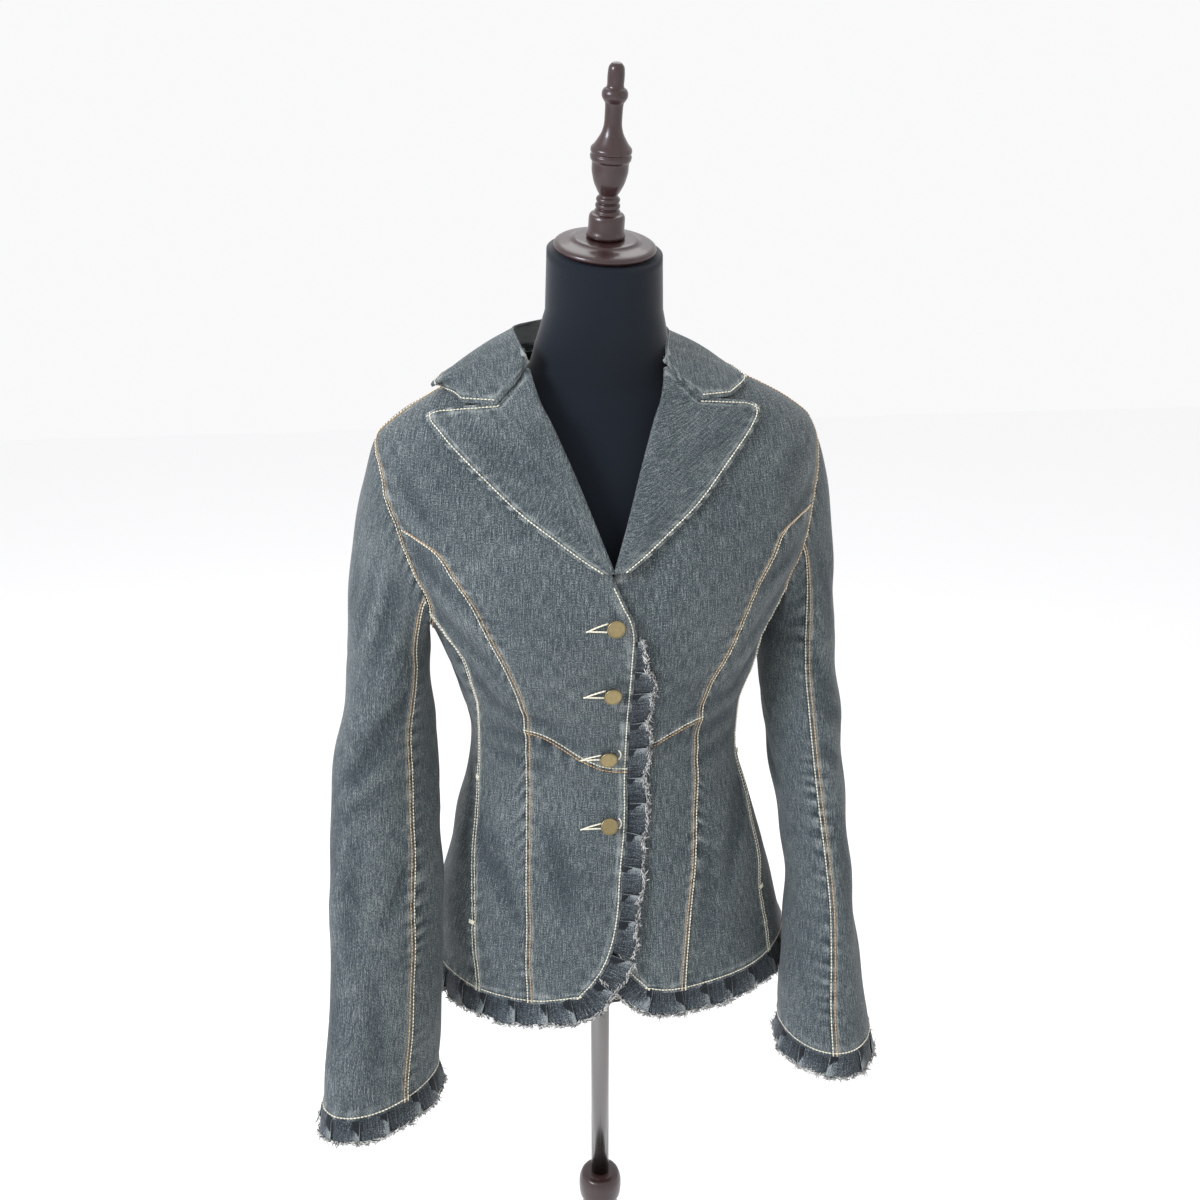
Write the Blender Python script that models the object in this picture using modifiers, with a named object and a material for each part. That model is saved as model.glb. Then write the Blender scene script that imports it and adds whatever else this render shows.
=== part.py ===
"""Denim jacket on a limbless dress form with a turned stand.

World frame in metres: +Z up, origin on the floor under the pole, the jacket's front faces -Y and the
wearer's left side is +X.  "right" and "left" in the names are the wearer's.
"""
import math

import bmesh
import bpy
import numpy as np
from mathutils import Matrix, Vector

# ---------------------------------------------------------------- driving dimensions
DENIM = 0.0010            # one layer of stretch denim
LAYERED = 0.0022          # turned edge of collar and lapel: two layers
SEAM_GAP = 0.0004         # between two pieces that are sewn together
RUFFLE_WIDTH = 0.020      # frayed strip that hangs past an edge
RUFFLE_WALL = 0.0010
PLEAT_PITCH = 0.029
PLEAT_RISE = 0.0035
FRILL_GAP = 0.0013        # between a strip and the edge it is sewn under

CLOSURE_X = -0.012        # centre line where the fronts button
OVERLAP = 0.019           # centre line to the edge of the upper front
UNDERLAP_DROP = 0.0042    # how far the lower front lies under the upper one
UNDERLAP_FREE_X = 0.037   # where it is back in line
SIDE_LEAN = 0.020         # the wearer's right side hangs lower by this slope
LEAN_FULL_Z = 1.15
LEAN_END_Z = 1.27

CLEAR_STEP = 0.0004
NECK_Z = 1.250            # where the cloth ends at the neck
TIP_Z = 1.186             # shoulder tip, the top of the armhole
YOKE_Z = 1.115            # where the front princess seam leaves the armhole
SIDE_TOP_Z = 1.035        # where the side seam leaves the armhole
BACK_TOP_Z = 1.090        # where the back princess seam leaves the armhole
WAIST_SIDE_Z = 0.925      # waist seam at the princess seam
WAIST_EDGE_Z = 0.882      # waist seam at the front edge
BREAK_Z = 1.074           # bottom of the neck opening
HEM_Z = 0.668

# Outside of the cloth at each height: half width, depth to the front and to the back, squareness of
# the section, and its sideways shift.
BODY = [
    # z      half   front  back   square shift
    (1.262, 0.050, 0.045, 0.062, 2.00, -0.002),
    (1.250, 0.080, 0.052, 0.074, 2.00, -0.002),
    (1.243, 0.098, 0.056, 0.080, 2.10, -0.001),
    (1.230, 0.130, 0.062, 0.087, 2.20, 0.000),
    (1.215, 0.160, 0.068, 0.093, 2.30, 0.000),
    (1.200, 0.183, 0.075, 0.098, 2.30, 0.000),
    (1.186, 0.199, 0.082, 0.102, 2.30, 0.000),
    (1.150, 0.206, 0.099, 0.108, 2.30, 0.000),
    (1.120, 0.203, 0.111, 0.110, 2.40, 0.000),
    (1.080, 0.192, 0.123, 0.109, 2.45, 0.001),
    (1.045, 0.177, 0.128, 0.106, 2.45, 0.001),
    (1.000, 0.157, 0.125, 0.100, 2.40, 0.002),
    (0.960, 0.144, 0.113, 0.092, 2.30, 0.003),
    (0.920, 0.133, 0.102, 0.085, 2.20, 0.003),
    (0.885, 0.131, 0.097, 0.081, 2.20, 0.003),
    (0.850, 0.136, 0.100, 0.085, 2.20, 0.003),
    (0.808, 0.148, 0.108, 0.095, 2.20, 0.004),
    (0.763, 0.160, 0.118, 0.107, 2.20, 0.005),
    (0.717, 0.171, 0.126, 0.118, 2.20, 0.006),
    (0.665, 0.180, 0.133, 0.126, 2.20, 0.010),
    (0.635, 0.187, 0.138, 0.131, 2.20, 0.010),
]

# Turn around the body of each long seam: 0 is the centre front, 90 the side, 180 the centre back.
ARM_FRONT = [(1.186, 90.0), (1.170, 78.0), (1.150, 73.0), (1.115, 67.5), (1.080, 65.5), (1.050, 66.0),
             (1.035, 69.0)]
ARM_BACK = [(1.186, 90.0), (1.165, 102.0), (1.140, 108.0), (1.090, 113.0), (1.060, 112.0),
            (1.035, 107.0)]
ARM_FLOOR_Z = 1.012       # lowest point of the armhole, at the side
SIDE_SEAM = [(1.035, 69.0), (1.000, 64.0), (0.965, 63.0), (0.930, 68.0), (0.886, 73.0), (0.850, 70.0),
             (0.808, 65.0), (0.731, 57.0), (0.660, 53.0)]
BACK_PRINCESS = [(1.090, 113.0), (1.060, 124.0), (1.000, 137.0), (0.930, 143.0), (0.885, 144.0),
                 (0.808, 141.0), (0.720, 138.0), (0.660, 137.0)]

# Distance of the front princess seam from the middle between the two of them.
PRINCESS = [(1.100, 0.157), (1.070, 0.137), (1.040, 0.121), (1.000, 0.103), (0.960, 0.087),
            (0.925, 0.082), (0.867, 0.081), (0.808, 0.081), (0.740, 0.078), (0.660, 0.075)]
PRINCESS_MIDDLE_X = -0.004
PRINCESS_SWING = -0.013   # the middle drifts to the wearer's right towards the hem
SWING_Z = (0.870, 0.660)

# Distance from the closure line.
ROLL = [(1.250, 0.060), (1.235, 0.059), (1.215, 0.054), (1.200, 0.047), (1.157, 0.030), (1.115, 0.015),
        (1.074, 0.000)]
LAPEL_EDGE = [(1.207, 0.151), (1.180, 0.128), (1.155, 0.104), (1.130, 0.079), (1.110, 0.054),
              (1.090, 0.028), (1.080, 0.013)]

# The cutaway corner of the fronts: how far the edge falls back from its straight run.
CORNER = [(0.882, 0.000), (0.830, 0.002), (0.780, 0.008), (0.740, 0.013), (0.710, 0.022),
          (0.688, 0.035), (0.670, 0.053)]

# Sections down each sleeve: height, centre, half axes, and how far the long axis turns inwards from
# straight back.
SLEEVE_RIGHT = [
    # z      x       y      long    short   heading
    (0.985, -0.1995, 0.002, 0.0620, 0.0385, 0.0),
    (0.950, -0.2030, -0.010, 0.0580, 0.0400, 12.0),
    (0.910, -0.2065, -0.022, 0.0570, 0.0400, 35.0),
    (0.869, -0.2095, -0.036, 0.0560, 0.0400, 50.0),
    (0.826, -0.2120, -0.052, 0.0560, 0.0400, 53.0),
    (0.783, -0.2140, -0.068, 0.0570, 0.0390, 55.0),
    (0.740, -0.2160, -0.083, 0.0575, 0.0380, 55.0),
    (0.696, -0.2190, -0.099, 0.0580, 0.0370, 55.0),
    (0.650, -0.2240, -0.115, 0.0590, 0.0365, 55.0),
    (0.612, -0.2290, -0.128, 0.0590, 0.0370, 55.0),
]
SLEEVE_LEFT = [
    (0.985, 0.1955, 0.002, 0.0620, 0.0350, 0.0),
    (0.950, 0.1945, -0.010, 0.0590, 0.0358, 0.0),
    (0.910, 0.1970, -0.022, 0.0570, 0.0365, 0.0),
    (0.869, 0.1985, -0.036, 0.0550, 0.0350, 0.0),
    (0.826, 0.2000, -0.052, 0.0540, 0.0330, 0.0),
    (0.783, 0.2020, -0.068, 0.0530, 0.0310, 0.0),
    (0.740, 0.2035, -0.083, 0.0525, 0.0300, 0.0),
    (0.696, 0.2015, -0.099, 0.0530, 0.0330, 0.0),
    (0.650, 0.1990, -0.115, 0.0540, 0.0390, 0.0),
    (0.610, 0.1990, -0.129, 0.0540, 0.0420, 0.0),
]
SLEEVE_HEAD_ROWS = 5
HEAD_RISE = 50.0          # degrees below level at which the sleeve leaves the shoulder tip
HEAD_FLOOR = 40.0         # and at which it leaves the underarm
HEAD_PULL = 0.34          # how firmly it keeps that direction
SLEEVE_OFFSET = 0.0016    # sleeve head to the body's armhole edge
FRONT_SEAM_TURN = {"right": 128.0, "left": 107.0}
BACK_SEAM_TURN = 244.0

# Guide points of the collar's left half, from the centre back to the gorge.
COLLAR = [
    # stand x  y       z      roll x  y       z      edge x  y       z
    (0.000, 0.078, 1.253, 0.000, 0.078, 1.276, 0.000, 0.104, 1.228),
    (0.034, 0.071, 1.253, 0.033, 0.070, 1.276, 0.044, 0.099, 1.229),
    (0.056, 0.052, 1.255, 0.054, 0.051, 1.275, 0.083, 0.075, 1.234),
    (0.069, 0.026, 1.257, 0.066, 0.026, 1.274, 0.106, 0.041, 1.240),
    (0.073, 0.000, 1.258, 0.069, 0.000, 1.271, 0.120, 0.008, 1.240),
    (0.071, -0.022, 1.257, 0.067, -0.022, 1.266, 0.133, -0.013, 1.235),
    (0.066, -0.044, 1.251, 0.062, -0.043, 1.257, 0.140, -0.028, 1.229),
]
COLLAR_ROWS = 15
COLLAR_CLEAR = 0.0070     # outside of the collar over the outside of the body
COLLAR_ROLL = 0.0045      # depth of the soft fold at the top
COLLAR_BULGE = 0.0026
# The collar's front end, over the gorge seam and out to its point: from the closure line, height.
GORGE = [(0.0600, 1.2475), (0.0605, 1.2455), (0.0618, 1.2440), (0.0700, 1.2350), (0.0880, 1.2175),
         (0.1150, 1.2220), (0.1420, 1.2270)]

GORGE_LIFT = 0.0068       # outside of the collar's front end over the outside of the front
LAPEL_LIFT = 0.0046       # outside of the lapel over the outside of the front
LAPEL_TOP_Z = 1.240
LAPEL_FOOT_Z = 1.080
LAPEL_SAG = 0.004
LAPEL_ROWS = 9
LAPEL_COLUMNS = 9
NOTCH = (0.0875, 1.2145)

CORNER_TOP_Z = 0.714      # where the hem's ruffle takes over from the front edge's
FRONT_RUFFLE_TOP_Z = 1.020
FRONT_RUFFLE_FOOT_Z = 0.716
FRONT_RUFFLE_WIDTH = 0.020

BUTTON_Z = (1.0345, 0.9700, 0.9020, 0.8350)
BUTTON_RADIUS = 0.0080
BUTTON_THICK = 0.0026
BUTTON_SHANK = 0.0045
BUTTON_CLEAR = 0.0005
SHANK_RADIUS = 0.0030

SLIT_TOP_Z = 0.863        # in-seam pocket, from bartack to bartack
SLIT_FOOT_Z = 0.731
FACING_DROP = 0.0022      # strip behind the slit, below the cloth's outside

# Dress form under the cloth, and the neck that rises out of it.
FORM = [
    # z      half   front  back   square x       y
    (0.632, 0.118, 0.086, 0.088, 2.20, 0.004, 0.000),
    (0.640, 0.132, 0.096, 0.096, 2.20, 0.004, 0.000),
    (0.700, 0.146, 0.103, 0.102, 2.20, 0.004, 0.000),
    (0.760, 0.143, 0.100, 0.094, 2.20, 0.004, 0.000),
    (0.820, 0.128, 0.090, 0.078, 2.20, 0.003, 0.000),
    (0.885, 0.114, 0.080, 0.064, 2.20, 0.003, 0.000),
    (0.940, 0.119, 0.086, 0.067, 2.20, 0.003, 0.000),
    (1.000, 0.134, 0.106, 0.080, 2.25, 0.002, 0.000),
    (1.045, 0.142, 0.110, 0.088, 2.25, 0.001, 0.000),
    (1.090, 0.150, 0.101, 0.092, 2.25, 0.000, 0.000),
    (1.135, 0.158, 0.083, 0.091, 2.20, 0.000, 0.000),
    (1.168, 0.157, 0.067, 0.085, 2.20, 0.000, 0.000),
    (1.190, 0.140, 0.058, 0.079, 2.10, 0.000, 0.000),
    (1.208, 0.116, 0.054, 0.072, 2.10, 0.000, 0.000),
    (1.224, 0.088, 0.051, 0.064, 2.00, 0.000, -0.001),
    (1.240, 0.064, 0.049, 0.056, 2.00, 0.000, -0.004),
    (1.262, 0.0545, 0.050, 0.052, 2.00, 0.000, -0.010),
    (1.290, 0.0515, 0.051, 0.051, 2.00, 0.000, -0.018),
]
FORM_TURNS = 32
FORM_STEP = 0.03
NECK_TILT = math.radians(19.0)
NECK_TOP = Vector((-0.002, -0.031, 1.338))
NECK_RADIUS = 0.0495

POLE_RADIUS = 0.0098
POST_TOP_Z = 0.3500

# Turned profiles, from the top of the axis down the outside: radius, height.
FINIAL = [(0.0000, 0.1365), (0.0040, 0.1355), (0.0064, 0.1325), (0.0069, 0.1260), (0.0066, 0.1180),
          (0.0092, 0.1165), (0.0105, 0.1140), (0.0105, 0.1110), (0.0092, 0.1085), (0.0072, 0.1060),
          (0.0071, 0.0900), (0.0090, 0.0830), (0.0140, 0.0750), (0.0168, 0.0722), (0.0171, 0.0695),
          (0.0158, 0.0680), (0.0171, 0.0665), (0.0168, 0.0635), (0.0152, 0.0615), (0.0152, 0.0540),
          (0.0130, 0.0450), (0.0098, 0.0385), (0.0074, 0.0345), (0.0100, 0.0325), (0.0100, 0.0300),
          (0.0082, 0.0290), (0.0104, 0.0275), (0.0104, 0.0250), (0.0086, 0.0240), (0.0108, 0.0225),
          (0.0108, 0.0205), (0.0140, 0.0195), (0.0153, 0.0170), (0.0153, 0.0070), (0.0165, 0.0040),
          (0.0165, 0.0003), (0.0000, 0.0003)]
NECK_CAP = [(0.0000, 0.0120), (0.0265, 0.0120), (0.0285, 0.0105), (0.0310, 0.0092), (0.0400, 0.0080),
            (0.0432, 0.0062), (0.0440, 0.0040), (0.0425, 0.0018), (0.0395, 0.0004), (0.0000, 0.0004)]
POST = [(0.0000, 0.3500), (0.0160, 0.3500), (0.0205, 0.3475), (0.0232, 0.3400), (0.0235, 0.3300),
        (0.0225, 0.3200), (0.0190, 0.3150), (0.0175, 0.3080), (0.0180, 0.3010), (0.0225, 0.2970),
        (0.0225, 0.2900), (0.0175, 0.2850), (0.0155, 0.2700), (0.0165, 0.2300), (0.0205, 0.1800),
        (0.0250, 0.1350), (0.0268, 0.1050), (0.0250, 0.0800), (0.0190, 0.0660), (0.0190, 0.0610),
        (0.0270, 0.0570), (0.0290, 0.0520), (0.0270, 0.0470), (0.0300, 0.0410), (0.0370, 0.0343),
        (0.0000, 0.0343)]
BASE = [(0.0000, 0.0340), (0.0560, 0.0340), (0.0620, 0.0310), (0.0660, 0.0285), (0.1200, 0.0250),
        (0.1600, 0.0210), (0.1720, 0.0190), (0.1790, 0.0150), (0.1800, 0.0110), (0.1800, 0.0040),
        (0.1770, 0.0000), (0.0000, 0.0000)]
TURN_STEPS = 20
BASE_STEPS = 36

WOOD = (0.062, 0.016, 0.013)
BLACK = (0.006, 0.007, 0.012)
CHROME = (0.62, 0.62, 0.63)
DENIM_BLUE = (0.085, 0.105, 0.125)
DENIM_DARK = (0.030, 0.038, 0.055)
BRASS = (0.36, 0.27, 0.13)


# ---------------------------------------------------------------- small helpers
def smooth(edge0, edge1, value):
    """0 before edge0, 1 after edge1 and a soft turn between; edge0 may be the larger one."""
    t = min(1.0, max(0.0, (value - edge0) / (edge1 - edge0)))
    return t * t * (3.0 - 2.0 * t)


def column(rows, key, index):
    """Read one column of a table at a key, on a smooth curve through its rows."""
    table = sorted(rows)
    keys = [row[0] for row in table]
    values = [row[index] for row in table]
    key = min(max(key, keys[0]), keys[-1])
    k = 0
    while k < len(keys) - 2 and key > keys[k + 1]:
        k += 1
    span = keys[k + 1] - keys[k]
    before, after = max(k - 1, 0), min(k + 2, len(keys) - 1)
    slope0 = (values[k + 1] - values[before]) / (keys[k + 1] - keys[before])
    slope1 = (values[after] - values[k]) / (keys[after] - keys[k])
    t = (key - keys[k]) / span
    h00, h10 = 2 * t**3 - 3 * t**2 + 1, t**3 - 2 * t**2 + t
    h01, h11 = -2 * t**3 + 3 * t**2, t**3 - t**2
    return h00 * values[k] + h10 * span * slope0 + h01 * values[k + 1] + h11 * span * slope1


def lean(point):
    """Let the wearer's right side hang a little lower than the left one."""
    fade = smooth(LEAN_END_Z, LEAN_FULL_Z, point.z)
    return Vector((point.x, point.y, point.z + SIDE_LEAN * fade * point.x))


def body_point(turn, z, out=0.0):
    """A point on the jacket's outside, at a turn in degrees around the body, moved out by `out`."""
    half, front, back, square, shift = (column(BODY, z, k) for k in range(1, 6))
    angle = math.radians(turn)
    sine, cosine = math.sin(angle), math.cos(angle)
    depth = front if cosine > 0 else back
    x = shift + (half + out) * math.copysign(abs(sine) ** (2.0 / square), sine)
    y = -(depth + out) * math.copysign(abs(cosine) ** (2.0 / square), cosine)
    return Vector((x, y, z))


def turn_at(x, z):
    """The turn in degrees at which the front of the body reaches x at height z."""
    half, square, shift = column(BODY, z, 1), column(BODY, z, 4), column(BODY, z, 5)
    ratio = min(1.0, abs(x - shift) / half)
    return math.copysign(math.degrees(math.asin(ratio ** (square / 2.0))), x - shift)


def clear_of_body(point, gap):
    """Raise a point until it is a gap outside the jacket's body."""
    raised = point.copy()
    while raised.z < BODY[0][0]:
        half, front, back, square, shift = (column(BODY, raised.z, k) for k in range(1, 6))
        depth = front if raised.y < 0 else back
        across = (abs(raised.x - shift) / (half + gap)) ** square
        along_y = (abs(raised.y) / (depth + gap)) ** square
        if across + along_y >= 1.0:
            break
        raised.z += CLEAR_STEP
    return raised


def spread(first, last, count):
    return [float(value) for value in np.linspace(first, last, count)]


# ---------------------------------------------------------------- objects and materials
def clear_scene():
    for old in list(bpy.data.objects):
        bpy.data.objects.remove(old, do_unlink=True)


def collection(name):
    made = bpy.data.collections.new(name)
    bpy.context.scene.collection.children.link(made)
    return made


def material(name, colour, roughness, metallic=0.0):
    made = bpy.data.materials.new(name)
    made.use_nodes = True
    shader = made.node_tree.nodes["Principled BSDF"]
    shader.inputs["Base Color"].default_value = (*colour, 1.0)
    shader.inputs["Roughness"].default_value = roughness
    shader.inputs["Metallic"].default_value = metallic
    return made


def new_object(name, mesh, finish, parts):
    colour, roughness, metallic = finish
    mesh.materials.append(material(name, colour, roughness, metallic))
    made = bpy.data.objects.new(name, mesh)
    parts.objects.link(made)
    return made


def loft(name, rows, closed=False):
    """A mesh of quads over rows of points; a closed one joins each row's end to its start."""
    mesh = bpy.data.meshes.new(name)
    across = len(rows[0])
    quads = []
    for r in range(len(rows) - 1):
        for c in range(across if closed else across - 1):
            d = (c + 1) % across
            quads.append((r * across + c, r * across + d, (r + 1) * across + d, (r + 1) * across + c))
    mesh.from_pydata([tuple(p) for row in rows for p in row], [], quads)
    mesh.update()
    return mesh


def face_outward(mesh, centre_of):
    """Turn all faces if their normals point at the piece's own axis."""
    total = sum(face.normal.dot(face.center - centre_of(face.center)) * face.area for face in mesh.polygons)
    if total < 0:
        mesh.flip_normals()


def upright_axis(point):
    return Vector((0.0, 0.0, point.z))


def cloth(name, rows, wall, finish, parts, centre_of=upright_axis):
    """A thin wall behind the surface that the rows give."""
    mesh = loft(name, rows)
    face_outward(mesh, centre_of)
    made = new_object(name, mesh, finish, parts)
    thick = made.modifiers.new("Wall", "SOLIDIFY")
    thick.thickness = wall
    thick.offset = -1.0
    mesh.shade_smooth()
    mesh.set_sharp_from_angle(angle=math.radians(50.0))
    return made


def mitred(name, outer, inner, finish, parts):
    """A thin wall between two surfaces, so that pieces which share a seam meet on its mitre."""
    tall, wide = len(outer), len(outer[0])
    border = ([(0, c) for c in range(wide)] + [(r, wide - 1) for r in range(1, tall)]
              + [(tall - 1, c) for c in range(wide - 2, -1, -1)] + [(r, 0) for r in range(tall - 2, 0, -1)])
    mesh = loft(name, outer)
    shell = bmesh.new()
    shell.from_mesh(mesh)
    front = list(shell.verts)
    back = [shell.verts.new(point) for row in inner for point in row]
    for r in range(tall - 1):
        for c in range(wide - 1):
            k = r * wide + c
            shell.faces.new([back[k], back[k + wide], back[k + wide + 1], back[k + 1]])
    for (r0, c0), (r1, c1) in zip(border, border[1:] + border[:1]):
        a, b = r0 * wide + c0, r1 * wide + c1
        shell.faces.new([front[b], front[a], back[a], back[b]])
    bmesh.ops.recalc_face_normals(shell, faces=shell.faces[:])
    shell.to_mesh(mesh)
    shell.free()
    new_object(name, mesh, finish, parts)
    mesh.shade_smooth()
    mesh.set_sharp_from_angle(angle=math.radians(50.0))


def shrink(rows, gap):
    """Pull a piece's four edges in by half a seam gap, along its own surface."""
    def pull(line):
        first = line[0].lerp(line[1], gap / 2 / max((line[1] - line[0]).length, gap))
        last = line[-1].lerp(line[-2], gap / 2 / max((line[-1] - line[-2]).length, gap))
        return [first] + list(line[1:-1]) + [last]

    rows = [pull(row) for row in rows]
    columns = [pull(list(line)) for line in zip(*rows)]
    return [list(row) for row in zip(*columns)]


def coons(left, right, top, bottom):
    """Fill four edges, lists of (turn, z) pairs, with rows that blend from edge to edge."""
    tall, wide = len(left), len(top)
    rows = []
    for r in range(tall):
        t = r / (tall - 1)
        row = []
        for c in range(wide):
            s = c / (wide - 1)
            pair = []
            for k in (0, 1):
                ruled = (1 - s) * left[r][k] + s * right[r][k] + (1 - t) * top[c][k] + t * bottom[c][k]
                corners = ((1 - s) * (1 - t) * left[0][k] + s * (1 - t) * right[0][k]
                           + (1 - s) * t * left[-1][k] + s * t * right[-1][k])
                pair.append(ruled - corners)
            row.append(pair)
        rows.append(row)
    return rows


# ---------------------------------------------------------------- seams, as lists of (turn, z)
def arm_curve(table, first, last, count):
    return [(column(table, z, 1), z) for z in spread(first, last, count)]


def measured_from(middle, table, side, z_values):
    """Turn of a line whose distance from a middle line is tabled, mirrored onto the given side."""
    return [(side * turn_at(middle(z) + side * column(table, z, 1), z), z) for z in z_values]


def closure(z):
    return CLOSURE_X


def princess_middle(z):
    return PRINCESS_MIDDLE_X + PRINCESS_SWING * smooth(*SWING_Z, z)


def edge_line(side, z):
    """Turn of the front edge under the neck opening, cutaway corner included."""
    reach = OVERLAP * smooth(BREAK_Z, BREAK_Z - 0.045, z) - column(CORNER, z, 1)
    return side * turn_at(CLOSURE_X - side * reach, z)


def hem_level(turn):
    """Height of the hem at a turn; it drops a little at the front quarters."""
    return HEM_Z - 0.003 * math.sin(math.radians(2.0 * min(abs(turn), 90.0)))


def straight(first, last, count):
    return [(a, b) for a, b in zip(spread(first[0], last[0], count), spread(first[1], last[1], count))]


def seams(side):
    """All seam lines of one half, in turns that grow from the closure to the centre back."""
    line = {}
    line["shoulder"] = [(90.0, z) for z in spread(NECK_Z, TIP_Z, 5)]
    line["arm_front_high"] = arm_curve(ARM_FRONT, TIP_Z, YOKE_Z, 4)
    line["arm_front_low"] = arm_curve(ARM_FRONT, YOKE_Z, SIDE_TOP_Z, 5)
    yoke = line["arm_front_high"][-1]
    high = measured_from(princess_middle, PRINCESS, side, spread(PRINCESS[0][0], WAIST_SIDE_Z, 9))
    line["princess_high"] = [yoke] + high
    low = measured_from(princess_middle, PRINCESS, side, spread(WAIST_SIDE_Z, HEM_Z, 9))
    low[-1] = (low[-1][0], hem_level(low[-1][0]))
    line["princess_low"] = low
    roll = measured_from(closure, ROLL, side, spread(NECK_Z, BREAK_Z, 9))
    edge = [(edge_line(side, z), z) for z in spread(BREAK_Z, WAIST_EDGE_Z, 9)]
    line["edge_high"] = roll[:-1] + edge
    corner_z = [0.882, 0.850, 0.815, 0.780, 0.750, 0.725, 0.703, 0.685, 0.672]
    line["edge_low"] = [(edge_line(side, z), z) for z in corner_z]
    corner = line["edge_low"][-1]
    line["hem_front"] = [corner]
    for share in spread(0.0, 1.0, 6)[1:]:
        turn = corner[0] + share * (low[-1][0] - corner[0])
        z = hem_level(turn) + (corner[1] - hem_level(corner[0])) * (1.0 - share) ** 2
        line["hem_front"].append((turn, z))
    line["waist"] = []
    first, last = line["edge_high"][-1], line["princess_high"][-1]
    for share in spread(0.0, 1.0, 6):
        turn = first[0] + share * (last[0] - first[0])
        z = first[1] + (last[1] - first[1]) * smooth(0.0, 1.0, share)
        line["waist"].append((turn, z))
    side_z = spread(SIDE_TOP_Z, HEM_Z, 14)
    line["side"] = [(column(SIDE_SEAM, z, 1), z) for z in side_z]
    line["side"][0] = line["arm_front_low"][-1]
    line["side"][-1] = (line["side"][-1][0], hem_level(line["side"][-1][0]))
    line["arm_back_high"] = arm_curve(ARM_BACK, TIP_Z, BACK_TOP_Z, 4)
    back_z = spread(BACK_TOP_Z, HEM_Z, 14)
    line["back_princess"] = [(column(BACK_PRINCESS, z, 1), z) for z in back_z]
    line["back_princess"][0] = line["arm_back_high"][-1]
    start, end = line["side"][0], line["back_princess"][0]
    line["arm_floor"] = []
    for share in spread(0.0, 1.0, 8):
        turn = start[0] + share * (end[0] - start[0])
        dip = math.sin(math.pi * share) ** 0.8
        z = start[1] + (end[1] - start[1]) * share
        line["arm_floor"].append((turn, z + (ARM_FLOOR_Z - z) * dip))
    line["centre_back"] = [(180.0, z) for z in spread(NECK_Z, HEM_Z, 21)]
    return line


def hem_run(first, last, count):
    return [(turn, hem_level(turn)) for turn in spread(first, last, count)]


def resample(line, count):
    """The same curve with another number of evenly shared points."""
    at = np.linspace(0.0, len(line) - 1.0, count)
    known = np.arange(len(line))
    turns = np.interp(at, known, [pair[0] for pair in line])
    heights = np.interp(at, known, [pair[1] for pair in line])
    return list(zip(turns.tolist(), heights.tolist()))


# ---------------------------------------------------------------- jacket body
def underlap(side, point):
    """How far the left front sinks where it passes under the right front."""
    if side < 0 or point.z > BREAK_Z + 0.02:
        return 0.0
    return UNDERLAP_DROP * smooth(UNDERLAP_FREE_X, CLOSURE_X + OVERLAP + 0.010, point.x)


def on_body(side, pairs):
    rows = []
    for line in pairs:
        row = []
        for turn, z in line:
            sink = underlap(side, body_point(side * turn, z))
            row.append(lean(body_point(side * turn, z, -sink)))
        rows.append(row)
    return rows


def body_normal(turn, z):
    """The outward direction of the body's surface, the same from both sides of a seam."""
    aside = body_point(turn + 1.0, z) - body_point(turn - 1.0, z)
    up = body_point(turn, z + 0.003) - body_point(turn, z - 0.003)
    return aside.cross(up).normalized()


def body_panels(side, label, parts, finish):
    line = seams(side)
    outer_high = line["shoulder"] + line["arm_front_high"][1:] + line["princess_high"][1:]
    inner_high = resample(line["edge_high"], len(outer_high))
    neck = straight(inner_high[0], outer_high[0], 6)
    shapes = {
        "front_upper": coons(inner_high, outer_high, neck, line["waist"]),
        "front_lower": coons(line["edge_low"], line["princess_low"], line["waist"], line["hem_front"]),
    }
    princess = line["princess_high"] + line["princess_low"][1:]
    side_rows = resample(line["side"], len(princess))
    shapes["front_side"] = coons(princess, side_rows, line["arm_front_low"],
                                 hem_run(princess[-1][0], side_rows[-1][0], 5))
    back = resample(line["back_princess"], len(side_rows))
    shapes["back_side"] = coons(side_rows, back, line["arm_floor"],
                                hem_run(side_rows[-1][0], back[-1][0], 8))
    outer_back = line["shoulder"] + line["arm_back_high"][1:] + back[1:]
    centre = resample(line["centre_back"], len(outer_back))
    shapes["back_centre"] = coons(outer_back, centre, straight(outer_back[0], centre[0], 7),
                                  hem_run(back[-1][0], 180.0, 7))
    for name, pairs in shapes.items():
        outer = shrink(on_body(side, pairs), SEAM_GAP)
        inner = [[point - body_normal(side * turn, z) * DENIM for point, (turn, z) in zip(row, line)]
                 for row, line in zip(outer, pairs)]
        mitred(f"{name}_{label}", outer, inner, finish, parts)


# ---------------------------------------------------------------- sleeves
def armhole_loop(side):
    """The armhole's edge from the shoulder tip down the front and up the back, on the outside."""
    line = seams(side)
    pairs = (line["arm_front_high"] + line["arm_front_low"][1:] + line["arm_floor"][1:]
             + line["arm_back_high"][-2::-1])
    points = [lean(body_point(side * turn, z)) for turn, z in pairs]
    lengths = [0.0]
    for before, after in zip(points, points[1:]):
        lengths.append(lengths[-1] + (after - before).length)
    return points, lengths


def along(points, lengths, share):
    """The point at a share of a line's length."""
    goal = share * lengths[-1]
    k = 0
    while k < len(lengths) - 2 and goal > lengths[k + 1]:
        k += 1
    return points[k].lerp(points[k + 1], (goal - lengths[k]) / (lengths[k + 1] - lengths[k]))


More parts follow.
